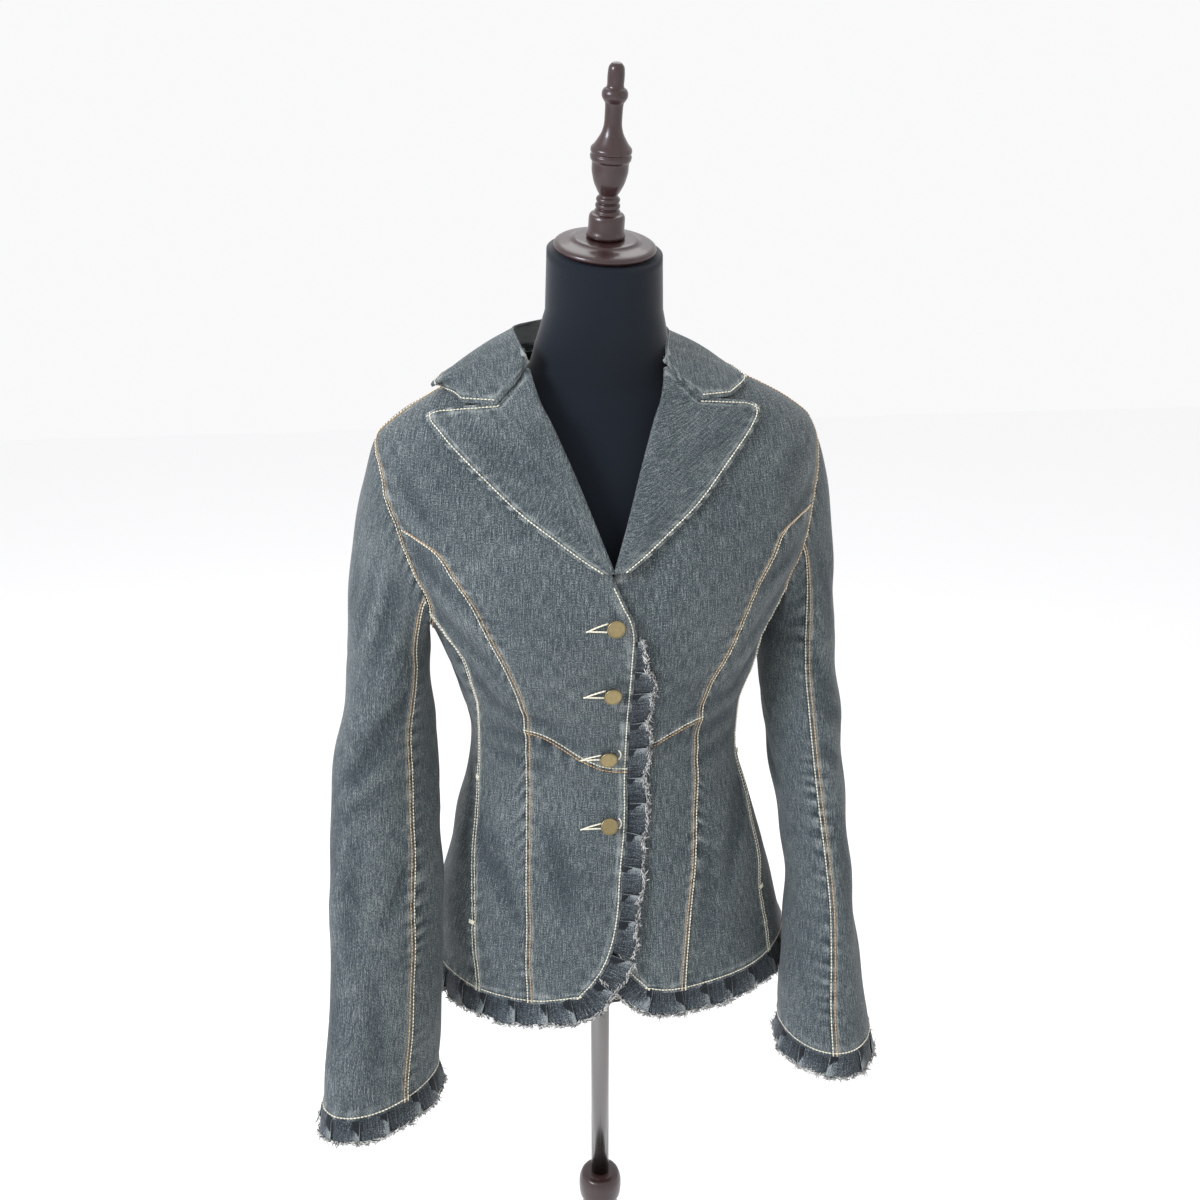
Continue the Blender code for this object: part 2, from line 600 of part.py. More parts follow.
def sleeve_ring(side, table, turn, z, out=0.0):
    heading = math.radians(column(table, z, 5))
    angle = math.radians(turn) + heading
    back = -(column(table, z, 3) + out) * math.sin(angle)
    aside = (column(table, z, 4) + out) * math.cos(angle)
    x = column(table, z, 1) + side * (aside * math.cos(heading) - back * math.sin(heading))
    y = column(table, z, 2) + back * math.cos(heading) + aside * math.sin(heading)
    return lean(Vector((x, y, z)))


def sleeve_line(side, table, loop, turn, ring_heights):
    """One line of the sleeve from the armhole to the cuff, at a turn: 0 outside, 90 front, 180 inside."""
    angle = math.radians(turn)
    fall = math.radians((HEAD_RISE + HEAD_FLOOR) / 2 + (HEAD_RISE - HEAD_FLOOR) / 2 * math.cos(angle))
    away = Vector((side * math.cos(fall), 0.0, -math.sin(fall)))
    start = along(*loop, (turn % 360.0) / 360.0) + away * SLEEVE_OFFSET
    end = sleeve_ring(side, table, turn, ring_heights[0])
    reach = (end - start).length
    points = []
    for step in range(SLEEVE_HEAD_ROWS):
        t = step / SLEEVE_HEAD_ROWS
        h00, h10 = 2 * t**3 - 3 * t**2 + 1, t**3 - 2 * t**2 + t
        h01, h11 = -2 * t**3 + 3 * t**2, t**3 - t**2
        down = Vector((0.0, 0.0, -1.0))
        points.append(start * h00 + away * (h10 * reach * HEAD_PULL) + end * h01 + down * (h11 * reach))
    return points + [sleeve_ring(side, table, turn, z) for z in ring_heights]


def sleeve_axis(table):
    def centre_of(point):
        return Vector((column(table, point.z, 1), column(table, point.z, 2), point.z))
    return centre_of


def tube(name, rows, wall, finish, parts, centre_of):
    """A closed ring of cloth behind the surface that the rows give."""
    mesh = loft(name, rows, closed=True)
    face_outward(mesh, centre_of)
    made = new_object(name, mesh, finish, parts)
    thick = made.modifiers.new("Wall", "SOLIDIFY")
    thick.thickness = wall
    thick.offset = -1.0
    mesh.shade_smooth()
    return made


def sleeves(side, label, table, parts, finish, ruffle_finish):
    loop = armhole_loop(side)
    front, back = FRONT_SEAM_TURN[label], BACK_SEAM_TURN
    heights = [row[0] for row in table]
    for name, first, last, count in (("sleeve_top", back - 360.0, front, 15), ("sleeve_under", front, back, 8)):
        outer, inner = [], []
        for turn in spread(first, last, count):
            line = sleeve_line(side, table, loop, turn, heights)
            ahead = sleeve_line(side, table, loop, turn + 2.0, heights)
            behind = sleeve_line(side, table, loop, turn - 2.0, heights)
            outer.append(line)
            inner.append([])
            for k, point in enumerate(line):
                run = line[min(k + 1, len(line) - 1)] - line[max(k - 1, 0)]
                out = (ahead[k] - behind[k]).cross(run).normalized() * side
                inner[-1].append(out * -DENIM)
        outer = shrink([list(row) for row in zip(*outer)], SEAM_GAP)
        steps = zip(*inner)
        inner = [[point + step for point, step in zip(row, into)] for row, into in zip(outer, steps)]
        mitred(f"{name}_{label}", outer, inner, finish, parts)
    cuff_z = heights[-1] - SEAM_GAP
    count = 2 * round(math.pi * (table[-1][3] + table[-1][4]) / PLEAT_PITCH)
    rows = []
    for drop in (0.0, 0.35, 1.0):
        ring = []
        for k in range(count):
            rise = pleat_lift(k) * drop
            point = sleeve_ring(side, table, 360.0 * k / count, cuff_z, rise + 0.002 * drop)
            ring.append(point - Vector((0.0, 0.0, RUFFLE_WIDTH * drop)))
        rows.append(ring)
    tube(f"ruffle_cuff_{label}", rows, RUFFLE_WALL, ruffle_finish, parts, sleeve_axis(table))


# ---------------------------------------------------------------- collar and lapels
def on_front(side, x, z, out):
    """A point on the front at a distance x from the closure line, moved out from the cloth."""
    turn = turn_at(CLOSURE_X + side * x, z)
    return lean(body_point(turn, z) + body_normal(turn, z) * out)


def lapel(side, label, parts, finish):
    rows = []
    for r in range(LAPEL_ROWS):
        t = r / (LAPEL_ROWS - 1)
        inner_z = LAPEL_TOP_Z + (LAPEL_FOOT_Z - LAPEL_TOP_Z) * t
        outer_z = LAPEL_EDGE[0][0] + (LAPEL_FOOT_Z - LAPEL_EDGE[0][0]) * t
        inner = column(ROLL, inner_z, 1)
        outer = column(LAPEL_EDGE, outer_z, 1)
        top_share = (NOTCH[0] - inner) / (outer - inner)
        row = []
        for c in range(LAPEL_COLUMNS):
            s = c / (LAPEL_COLUMNS - 1)
            x = inner + (outer - inner) * s
            z = inner_z + (outer_z - inner_z) * s
            if r == 0:
                z = NOTCH[1] + (LAPEL_TOP_Z - NOTCH[1]) * max(0.0, 1.0 - s / top_share)
                z += (outer_z - NOTCH[1]) * max(0.0, (s - top_share) / (1.0 - top_share))
            elif r == 1:
                z -= LAPEL_SAG * math.sin(math.pi * s)
            row.append(on_front(side, x, z, LAPEL_LIFT))
        rows.append(row)
    cloth(f"lapel_{label}", rows, LAYERED, finish, parts)


def collar_half(side):
    """Rows of the collar from the centre back to the gorge, each from stand over roll to edge."""
    keyed = [(float(k), *row) for k, row in enumerate(COLLAR)]
    rows = []
    for at in spread(0.0, len(COLLAR) - 1.0, COLLAR_ROWS):
        shift = CLOSURE_X * smooth(0.0, len(COLLAR) - 1.0, at)
        stand, roll, edge = (Vector([column(keyed, at, k + axis) for axis in range(3)]) for k in (1, 4, 7))
        outward = (edge - roll).normalized()
        level = Vector((outward.x, outward.y, 0.0))
        over = roll + level * COLLAR_ROLL - Vector((0.0, 0.0, COLLAR_ROLL / 3))
        bulge = (level + Vector((0.0, 0.0, 0.8))) * COLLAR_BULGE
        row = [stand, stand.lerp(roll, 0.6), roll, over]
        row += [over.lerp(edge, 0.33) + bulge, over.lerp(edge, 0.67) + bulge, edge]
        row = [Vector((side * p.x + shift, p.y, p.z)) for p in row]
        rows.append([lean(clear_of_body(p, COLLAR_CLEAR)) for p in row])
    rows.append([on_front(side, x, z, GORGE_LIFT) for x, z in GORGE])
    return rows


def collar(parts, finish):
    rows = collar_half(1)[::-1] + collar_half(-1)[1:]

    def under(point):
        return Vector((point.x * 0.75, point.y * 0.75, point.z - 0.05))

    cloth("collar", rows, LAYERED, finish, parts, under)


# ---------------------------------------------------------------- ruffles
def pleat_lift(k):
    """The rise of a pleated strip at its k-th point: flat, then over the fold."""
    return PLEAT_RISE * (k % 2)


def frill(name, line, width, parts, finish):
    """A pleated strip that starts along a line of (signed turn, z, sink) and falls away from the cloth."""
    starts = [lean(body_point(turn, z, -sink)) for turn, z, sink in line]
    lengths = [0.0]
    for before, after in zip(starts, starts[1:]):
        lengths.append(lengths[-1] + (after - before).length)
    count = 2 * round(lengths[-1] / PLEAT_PITCH)
    rows = [[], [], []]
    for k, goal in enumerate(spread(0.0, lengths[-1], count + 1)):
        turn, z, sink = (float(np.interp(goal, lengths, [entry[i] for entry in line])) for i in range(3))
        ahead, behind = (float(np.interp(goal + step, lengths, [entry[0] for entry in line]))
                         for step in (0.004, -0.004))
        ahead_z, behind_z = (float(np.interp(goal + step, lengths, [entry[1] for entry in line]))
                             for step in (0.004, -0.004))
        start = lean(body_point(turn, z, -sink))
        run = (body_point(ahead, ahead_z) - body_point(behind, behind_z)).normalized()
        out = body_normal(turn, z)
        fall = run.cross(out).normalized()
        start += fall * FRILL_GAP
        for row, drop in zip(rows, (0.0, 0.4, 1.0)):
            row.append(start + fall * (width * drop) + out * (pleat_lift(k) * drop))
    cloth(name, rows, RUFFLE_WALL, finish, parts)


def signed_line(side, pairs, sink):
    return [(side * turn, z, sink if side > 0 else 0.0) for turn, z in pairs]


def hem_ruffle(parts, finish):
    """Around the hem, from the right front's cutaway corner over the back to the left front's."""
    lines = {side: seams(side) for side in (-1, 1)}
    halves = {}
    for side, line in lines.items():
        corner = [pair for pair in line["edge_low"][:-1] if pair[1] < CORNER_TOP_Z]
        start = corner + line["hem_front"]
        halves[side] = signed_line(side, start + hem_run(start[-1][0], 180.0, 24)[1:], 0.0)
    left = []
    for turn, z, _ in halves[1]:
        x = body_point(turn, z).x
        left.append((turn, z, UNDERLAP_DROP * smooth(UNDERLAP_FREE_X, CLOSURE_X + OVERLAP, x)))
    right = [(turn if turn > 0 else turn + 360.0, z, sink) for turn, z, sink in halves[-1]]
    frill("ruffle_hem", left + right[-2::-1], RUFFLE_WIDTH, parts, finish)


def front_ruffle(parts, finish):
    """Down the right front's edge, on top of the left front."""
    heights = spread(FRONT_RUFFLE_FOOT_Z, FRONT_RUFFLE_TOP_Z, 30)
    line = [(-edge_line(-1, z), z, 0.0) for z in heights]
    frill("ruffle_front", line, FRONT_RUFFLE_WIDTH, parts, finish)


# ---------------------------------------------------------------- buttons and pockets
def turned(name, profile, steps, finish, parts):
    """A lathe-turned solid about its own Z axis from a profile that runs top to bottom."""
    mesh = bpy.data.meshes.new(name)
    chain = [(k, k + 1) for k in range(len(profile) - 1)]
    mesh.from_pydata([(radius, 0.0, height) for radius, height in profile], chain, [])
    made = new_object(name, mesh, finish, parts)
    screw = made.modifiers.new("Turn", "SCREW")
    screw.steps = steps
    screw.render_steps = steps
    screw.use_merge_vertices = True
    screw.merge_threshold = 0.00002
    screw.use_smooth_shade = True
    return made


def button(number, z, parts):
    face = BUTTON_SHANK + BUTTON_THICK
    profile = [(0.0, face), (BUTTON_RADIUS * 0.70, face), (BUTTON_RADIUS * 0.94, face - 0.0004),
               (BUTTON_RADIUS, face - 0.0011), (BUTTON_RADIUS * 0.94, BUTTON_SHANK),
               (SHANK_RADIUS, BUTTON_SHANK), (SHANK_RADIUS, BUTTON_CLEAR), (0.0, BUTTON_CLEAR)]
    made = turned(f"button_{number}", profile, 20, (BRASS, 0.45, 1.0), parts)
    turn = turn_at(CLOSURE_X, z)
    place = lean(body_point(turn, z))
    facing = body_normal(turn, z).to_track_quat("Z", "Y").to_matrix().to_4x4()
    made.matrix_world = Matrix.Translation(place) @ facing


def pocket_facing(side, label, parts, finish):
    """The strip behind the in-seam pocket's slit."""
    rows = []
    for z in spread(SLIT_TOP_Z, SLIT_FOOT_Z, 7):
        turn = column(SIDE_SEAM, z, 1)
        rows.append([lean(body_point(side * (turn + step), z, -FACING_DROP)) for step in (-4.0, 0.0, 4.0)])
    cloth(f"pocket_facing_{label}", rows, DENIM, finish, parts)


# ---------------------------------------------------------------- dress form and stand
def form_ring(z):
    half, front, back, square, x, y = (column(FORM, z, k) for k in range(1, 7))
    ring = []
    for k in range(FORM_TURNS):
        angle = 2 * math.pi * k / FORM_TURNS
        sine, cosine = math.sin(angle), math.cos(angle)
        depth = front if cosine > 0 else back
        ring.append(lean(Vector((x + half * math.copysign(abs(sine) ** (2 / square), sine),
                                 y - depth * math.copysign(abs(cosine) ** (2 / square), cosine), z))))
    return ring


def tilted_ring():
    """The neck's flat top, tipped forward."""
    turn = Matrix.Rotation(NECK_TILT, 3, "X")
    ring = []
    for k in range(FORM_TURNS):
        angle = 2 * math.pi * k / FORM_TURNS
        flat = Vector((math.sin(angle) * NECK_RADIUS, -math.cos(angle) * NECK_RADIUS, 0.0))
        ring.append(NECK_TOP + turn @ flat)
    return ring


def dress_form(parts):
    heights = [row[0] for row in FORM]
    ladder = []
    for low, high in zip(heights, heights[1:]):
        ladder += spread(low, high, max(2, round((high - low) / FORM_STEP) + 1))[:-1]
    rows = [form_ring(z) for z in ladder + [heights[-1]]] + [tilted_ring()]
    mesh = loft("form_torso", rows[::-1], closed=True)
    shell = bmesh.new()
    shell.from_mesh(mesh)
    bmesh.ops.holes_fill(shell, edges=shell.edges[:], sides=0)
    bmesh.ops.recalc_face_normals(shell, faces=shell.faces[:])
    shell.to_mesh(mesh)
    shell.free()
    new_object("form_torso", mesh, (BLACK, 0.9, 0.0), parts)
    mesh.shade_smooth()
    mesh.set_sharp_from_angle(angle=math.radians(50.0))
    tip = Matrix.Translation(NECK_TOP) @ Matrix.Rotation(NECK_TILT, 4, "X")
    cap = turned("neck_cap", NECK_CAP, BASE_STEPS, (WOOD, 0.35, 0.0), parts)
    cap.matrix_world = tip
    finial = turned("finial", FINIAL, TURN_STEPS, (WOOD, 0.35, 0.0), parts)
    finial.matrix_world = tip @ Matrix.Translation((0.0, 0.0, NECK_CAP[0][1]))


def stand(parts):
    foot, head = POST_TOP_Z + SEAM_GAP, FORM[0][0] - SEAM_GAP
    pole = [(0.0, head), (POLE_RADIUS, head), (POLE_RADIUS, foot), (0.0, foot)]
    turned("pole", pole, TURN_STEPS, (CHROME, 0.15, 1.0), parts)
    turned("stand_post", POST, TURN_STEPS, (WOOD, 0.35, 0.0), parts)
    turned("stand_base", BASE, BASE_STEPS, (WOOD, 0.35, 0.0), parts)


# ---------------------------------------------------------------- build
clear_scene()
jacket = collection("denim jacket on a dress form")
denim_finish = (DENIM_BLUE, 0.85, 0.0)
frayed_finish = (DENIM_DARK, 0.9, 0.0)
dress_form(jacket)
stand(jacket)
for sign, wearer_side, sleeve_table in ((-1, "right", SLEEVE_RIGHT), (1, "left", SLEEVE_LEFT)):
    body_panels(sign, wearer_side, jacket, denim_finish)
    sleeves(sign, wearer_side, sleeve_table, jacket, denim_finish, frayed_finish)
    lapel(sign, wearer_side, jacket, denim_finish)
    pocket_facing(sign, wearer_side, jacket, denim_finish)
collar(jacket, denim_finish)
hem_ruffle(jacket, frayed_finish)
front_ruffle(jacket, frayed_finish)
for button_number, button_z in enumerate(BUTTON_Z, start=1):
    button(button_number, button_z, jacket)
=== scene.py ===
# %% [markdown]
# # A washed denim jacket on its dress form
#
# The jacket is a fitted, four-button blazer: two fronts with curved panel seams, side and back panels,
# two-piece sleeves, a notched collar, and raw pleated ruffles at the front edge, the hem and the cuffs.
# It hangs on a black limbless dress form with a turned neck cap and a stand. "right" and "left" are
# always the wearer's. The frame holds the plain engineering solids; every cell below dresses one part
# of it in finer cloth, thread, wood or metal that keeps to the same sizes.

# %% Start from the fixed frame
import math

import bpy
import numpy as np
from mathutils import Matrix, Vector


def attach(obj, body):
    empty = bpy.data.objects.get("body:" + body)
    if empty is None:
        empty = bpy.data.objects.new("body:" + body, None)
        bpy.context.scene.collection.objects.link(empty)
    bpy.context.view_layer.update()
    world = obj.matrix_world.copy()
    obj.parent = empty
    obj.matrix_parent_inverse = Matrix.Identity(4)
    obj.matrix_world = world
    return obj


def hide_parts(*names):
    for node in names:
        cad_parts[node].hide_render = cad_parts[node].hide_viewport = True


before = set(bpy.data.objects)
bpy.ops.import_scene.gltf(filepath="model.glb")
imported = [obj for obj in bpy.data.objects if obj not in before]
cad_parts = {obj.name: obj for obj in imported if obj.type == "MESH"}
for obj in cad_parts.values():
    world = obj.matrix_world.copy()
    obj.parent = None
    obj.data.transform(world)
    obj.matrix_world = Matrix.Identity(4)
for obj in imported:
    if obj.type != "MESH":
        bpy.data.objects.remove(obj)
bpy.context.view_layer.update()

# %% [markdown]
# ## The sizes
#
# A pattern maker works from a sheet of measures. These are the jacket's own, in metres and degrees:
# the body's outline at each height, where each seam runs around it, and the sections down the sleeves.
# Keeping them in tables means every finer surface lands where the frame's solid already is.

# %% Cloth, seams and closure
DENIM = 0.0010            # one layer of stretch denim
LAPEL_WALL, COLLAR_WALL = 0.0016, 0.0018      # two pressed layers
RAW_WALL = 0.0007         # one raw layer, thinned by washing
SEAM_GAP = 0.0003         # the ditch between two sewn pieces
RUFFLE_WIDTH, CUFF_RUFFLE_WIDTH, FRONT_RUFFLE_WIDTH = 0.020, 0.0185, 0.0160
PLEAT_PITCH = 0.029
YARN_SPACING, CURLY_SHARE = 0.00034, 0.70     # the loose yarns of a frayed edge
CLOSURE_X = -0.012        # centre line where the fronts button
OVERLAP = 0.019
UNDERLAP_DROP = 0.0042
UNDERLAP_FREE_X = 0.037
SIDE_LEAN = 0.020         # the wearer's right side hangs a little lower
LEAN_FULL_Z, LEAN_END_Z = 1.15, 1.27
NECK_Z, TIP_Z, YOKE_Z, SIDE_TOP_Z, BACK_TOP_Z = 1.250, 1.186, 1.115, 1.035, 1.090
WAIST_SIDE_Z, WAIST_EDGE_Z, BREAK_Z, HEM_Z, ARM_FLOOR_Z = 0.925, 0.882, 1.074, 0.668, 1.012
PRINCESS_MIDDLE_X, PRINCESS_SWING, SWING_Z = -0.004, -0.013, (0.870, 0.660)

# %% The body's outline and its seams
BODY = [
    # z      half   front  back   square shift
    (1.262, 0.050, 0.045, 0.062, 2.00, -0.002),
    (1.250, 0.080, 0.052, 0.074, 2.00, -0.002),
    (1.243, 0.098, 0.056, 0.080, 2.10, -0.001),
    (1.230, 0.130, 0.062, 0.087, 2.20, 0.000),
    (1.215, 0.160, 0.068, 0.093, 2.30, 0.000),
    (1.200, 0.183, 0.075, 0.098, 2.30, 0.000),
    (1.186, 0.199, 0.082, 0.102, 2.30, 0.000),
    (1.150, 0.206, 0.099, 0.108, 2.30, 0.000),
    (1.120, 0.203, 0.111, 0.110, 2.40, 0.000),
    (1.080, 0.192, 0.123, 0.109, 2.45, 0.001),
    (1.045, 0.177, 0.128, 0.106, 2.45, 0.001),
    (1.000, 0.157, 0.125, 0.100, 2.40, 0.002),
    (0.960, 0.144, 0.113, 0.092, 2.30, 0.003),
    (0.920, 0.133, 0.102, 0.085, 2.20, 0.003),
    (0.885, 0.131, 0.097, 0.081, 2.20, 0.003),
    (0.850, 0.136, 0.100, 0.085, 2.20, 0.003),
    (0.808, 0.148, 0.108, 0.095, 2.20, 0.004),
    (0.763, 0.160, 0.118, 0.107, 2.20, 0.005),
    (0.717, 0.171, 0.126, 0.118, 2.20, 0.006),
    (0.665, 0.180, 0.133, 0.126, 2.20, 0.010),
    (0.635, 0.187, 0.138, 0.131, 2.20, 0.010),
]
ARM_FRONT = [(1.186, 90.0), (1.170, 78.0), (1.150, 73.0), (1.115, 67.5), (1.080, 65.5), (1.050, 66.0),
             (1.035, 69.0)]
ARM_BACK = [(1.186, 90.0), (1.165, 102.0), (1.140, 108.0), (1.090, 113.0), (1.060, 112.0),
            (1.035, 107.0)]
SIDE_SEAM = [(1.035, 69.0), (1.000, 64.0), (0.965, 63.0), (0.930, 68.0), (0.886, 73.0), (0.850, 70.0),
             (0.808, 65.0), (0.731, 57.0), (0.660, 53.0)]
BACK_PRINCESS = [(1.090, 113.0), (1.060, 124.0), (1.000, 137.0), (0.930, 143.0), (0.885, 144.0),
                 (0.808, 141.0), (0.720, 138.0), (0.660, 137.0)]

# Distance of the front princess seam from the middle between the two of them.
PRINCESS = [(1.100, 0.157), (1.070, 0.137), (1.040, 0.121), (1.000, 0.103), (0.960, 0.087),
            (0.925, 0.082), (0.867, 0.081), (0.808, 0.081), (0.740, 0.078), (0.660, 0.075)]
ROLL = [(1.250, 0.060), (1.235, 0.059), (1.215, 0.054), (1.200, 0.047), (1.157, 0.030), (1.115, 0.015),
        (1.074, 0.000)]
LAPEL_EDGE = [(1.207, 0.151), (1.180, 0.128), (1.155, 0.104), (1.130, 0.079), (1.110, 0.054),
              (1.090, 0.028), (1.080, 0.013)]
CORNER = [(0.882, 0.000), (0.830, 0.002), (0.780, 0.008), (0.740, 0.013), (0.710, 0.022),
          (0.688, 0.035), (0.670, 0.053)]
print("body outline given at", len(BODY), "heights")

# %% Sleeves, collar and form
SLEEVE_RIGHT = [
    # z      x       y      long    short   heading
    (0.985, -0.1995, 0.002, 0.0620, 0.0385, 0.0),
    (0.950, -0.2030, -0.010, 0.0580, 0.0400, 12.0),
    (0.910, -0.2065, -0.022, 0.0570, 0.0400, 35.0),
    (0.869, -0.2095, -0.036, 0.0560, 0.0400, 50.0),
    (0.826, -0.2120, -0.052, 0.0560, 0.0400, 53.0),
    (0.783, -0.2140, -0.068, 0.0570, 0.0390, 55.0),
    (0.740, -0.2160, -0.083, 0.0575, 0.0380, 55.0),
    (0.696, -0.2190, -0.099, 0.0580, 0.0370, 55.0),
    (0.650, -0.2240, -0.115, 0.0590, 0.0365, 55.0),
    (0.612, -0.2290, -0.128, 0.0590, 0.0370, 55.0),
]
SLEEVE_LEFT = [
    (0.985, 0.1955, 0.002, 0.0620, 0.0350, 0.0),
    (0.950, 0.1945, -0.010, 0.0590, 0.0358, 0.0),
    (0.910, 0.1970, -0.022, 0.0570, 0.0365, 0.0),
    (0.869, 0.1985, -0.036, 0.0550, 0.0350, 0.0),
    (0.826, 0.2000, -0.052, 0.0540, 0.0330, 0.0),
    (0.783, 0.2020, -0.068, 0.0530, 0.0310, 0.0),
    (0.740, 0.2035, -0.083, 0.0525, 0.0300, 0.0),
    (0.696, 0.2015, -0.099, 0.0530, 0.0330, 0.0),
    (0.650, 0.1990, -0.115, 0.0540, 0.0390, 0.0),
    (0.610, 0.1990, -0.129, 0.0540, 0.0420, 0.0),
]
SLEEVES = {-1: SLEEVE_RIGHT, 1: SLEEVE_LEFT}
HEAD_RISE, HEAD_FLOOR, HEAD_PULL, HEAD_CLEAR = 50.0, 40.0, 0.34, 0.0004
FRONT_SEAM_TURN = {-1: 128.0, 1: 107.0}
BACK_SEAM_TURN = 244.0
COLLAR = [
    # stand x  y       z      roll x  y       z      edge x  y       z
    (0.000, 0.078, 1.253, 0.000, 0.078, 1.276, 0.000, 0.104, 1.228),
    (0.034, 0.071, 1.253, 0.033, 0.070, 1.276, 0.044, 0.099, 1.229),
    (0.056, 0.052, 1.255, 0.054, 0.051, 1.275, 0.083, 0.075, 1.234),
    (0.069, 0.026, 1.257, 0.066, 0.026, 1.274, 0.106, 0.041, 1.240),
    (0.073, 0.000, 1.258, 0.069, 0.000, 1.271, 0.120, 0.008, 1.240),
    (0.071, -0.022, 1.257, 0.067, -0.022, 1.266, 0.133, -0.013, 1.235),
    (0.066, -0.044, 1.251, 0.062, -0.043, 1.257, 0.140, -0.028, 1.229),
]
COLLAR_CLEAR, COLLAR_ROLL, COLLAR_BULGE = 0.0070, 0.0045, 0.0026
GORGE = [(0.0560, 1.2475), (0.0568, 1.2455), (0.0588, 1.2440), (0.0700, 1.2350), (0.0880, 1.2175),
         (0.1150, 1.2220), (0.1420, 1.2270)]
GORGE_DROP = (-0.0030, -0.0022, -0.0020, -0.0062, -0.0044, -0.0080, -0.0030)   # closes it on the lapel
GORGE_SWELL = np.array([0.0, -0.0007, 0.0012])      # keeps the collar rounded just behind its end
GORGE_LIFT, LAPEL_LIFT = 0.0052, 0.0046
LAPEL_TOP_Z, LAPEL_FOOT_Z, LAPEL_SAG, NOTCH = 1.240, 1.080, 0.004, (0.0875, 1.2145)
LAPEL_ROUND, COLLAR_ROUND = 0.024, 0.020      # reach of their rounded corners
LAPEL_SLANT = -28.0       # the lapel's warp leans this far from upright
CORNER_TOP_Z, FRONT_RUFFLE_TOP_Z, FRONT_RUFFLE_FOOT_Z = 0.714, 1.020, 0.716
BUTTON_Z = (1.0345, 0.9700, 0.9020, 0.8350)
BUTTON_RADIUS, BUTTON_THICK, BUTTON_SHANK = 0.0080, 0.0026, 0.0045
SLIT_TOP_Z, SLIT_FOOT_Z, FACING_DROP, MOUTH_GAPE = 0.863, 0.731, 0.0022, 0.0022
FORM = [
    # z      half   front  back   square x       y
    (0.632, 0.118, 0.086, 0.088, 2.20, 0.004, 0.000),
    (0.640, 0.132, 0.096, 0.096, 2.20, 0.004, 0.000),
    (0.700, 0.146, 0.103, 0.102, 2.20, 0.004, 0.000),
    (0.760, 0.143, 0.100, 0.094, 2.20, 0.004, 0.000),
    (0.820, 0.128, 0.090, 0.078, 2.20, 0.003, 0.000),
    (0.885, 0.114, 0.080, 0.064, 2.20, 0.003, 0.000),
    (0.940, 0.119, 0.086, 0.067, 2.20, 0.003, 0.000),
    (1.000, 0.134, 0.106, 0.080, 2.25, 0.002, 0.000),
    (1.045, 0.142, 0.110, 0.088, 2.25, 0.001, 0.000),
    (1.090, 0.150, 0.101, 0.092, 2.25, 0.000, 0.000),
    (1.135, 0.158, 0.083, 0.091, 2.20, 0.000, 0.000),
    (1.168, 0.157, 0.067, 0.085, 2.20, 0.000, 0.000),
    (1.190, 0.140, 0.058, 0.079, 2.10, 0.000, 0.000),
    (1.208, 0.116, 0.054, 0.072, 2.10, 0.000, 0.000),
    (1.224, 0.088, 0.051, 0.064, 2.00, 0.000, -0.001),
    (1.240, 0.067, 0.051, 0.056, 2.00, 0.000, -0.004),
    (1.262, 0.0595, 0.0515, 0.052, 2.00, 0.000, -0.010),
    (1.290, 0.0515, 0.051, 0.051, 2.00, 0.000, -0.018),
]
NECK_TILT = math.radians(19.0)
NECK_TOP = Vector((-0.002, -0.031, 1.338))
NECK_RADIUS = 0.0495
FINIAL = [(0.0000, 0.1365), (0.0040, 0.1355), (0.0064, 0.1325), (0.0069, 0.1260), (0.0066, 0.1180),
          (0.0092, 0.1165), (0.0105, 0.1140), (0.0105, 0.1110), (0.0092, 0.1085), (0.0072, 0.1060),
          (0.0071, 0.0900), (0.0090, 0.0830), (0.0140, 0.0750), (0.0168, 0.0722), (0.0171, 0.0695),
          (0.0158, 0.0680), (0.0171, 0.0665), (0.0168, 0.0635), (0.0152, 0.0615), (0.0152, 0.0540),
          (0.0130, 0.0450), (0.0098, 0.0385), (0.0074, 0.0345), (0.0100, 0.0325), (0.0100, 0.0300),
          (0.0082, 0.0290), (0.0104, 0.0275), (0.0104, 0.0250), (0.0086, 0.0240), (0.0108, 0.0225),
          (0.0108, 0.0205), (0.0140, 0.0195), (0.0153, 0.0170), (0.0153, 0.0070), (0.0165, 0.0040),
          (0.0165, 0.0003), (0.0000, 0.0003)]
NECK_CAP = [(0.0000, 0.0120), (0.0265, 0.0120), (0.0285, 0.0105), (0.0310, 0.0092), (0.0400, 0.0080),
            (0.0432, 0.0062), (0.0440, 0.0040), (0.0425, 0.0018), (0.0395, 0.0004), (0.0000, 0.0004)]
POST = [(0.0000, 0.3500), (0.0160, 0.3500), (0.0205, 0.3475), (0.0232, 0.3400), (0.0235, 0.3300),
        (0.0225, 0.3200), (0.0190, 0.3150), (0.0175, 0.3080), (0.0180, 0.3010), (0.0225, 0.2970),
        (0.0225, 0.2900), (0.0175, 0.2850), (0.0155, 0.2700), (0.0165, 0.2300), (0.0205, 0.1800),
        (0.0250, 0.1350), (0.0268, 0.1050), (0.0250, 0.0800), (0.0190, 0.0660), (0.0190, 0.0610),
        (0.0270, 0.0570), (0.0290, 0.0520), (0.0270, 0.0470), (0.0300, 0.0410), (0.0370, 0.0343),
        (0.0000, 0.0343)]
BASE = [(0.0000, 0.0340), (0.0560, 0.0340), (0.0620, 0.0310), (0.0660, 0.0285), (0.1200, 0.0250),
        (0.1600, 0.0210), (0.1720, 0.0190), (0.1790, 0.0150), (0.1800, 0.0110), (0.1800, 0.0040),
        (0.1770, 0.0000), (0.0000, 0.0000)]
print("sleeves have", len(SLEEVE_RIGHT), "sections each")

# %% [markdown]
# ## Reading the tables
#
# A table gives a value at a few heights. `column` reads it in between on a smooth curve, for a whole
# array of heights at once, so a fine grid of cloth costs no more than one call.

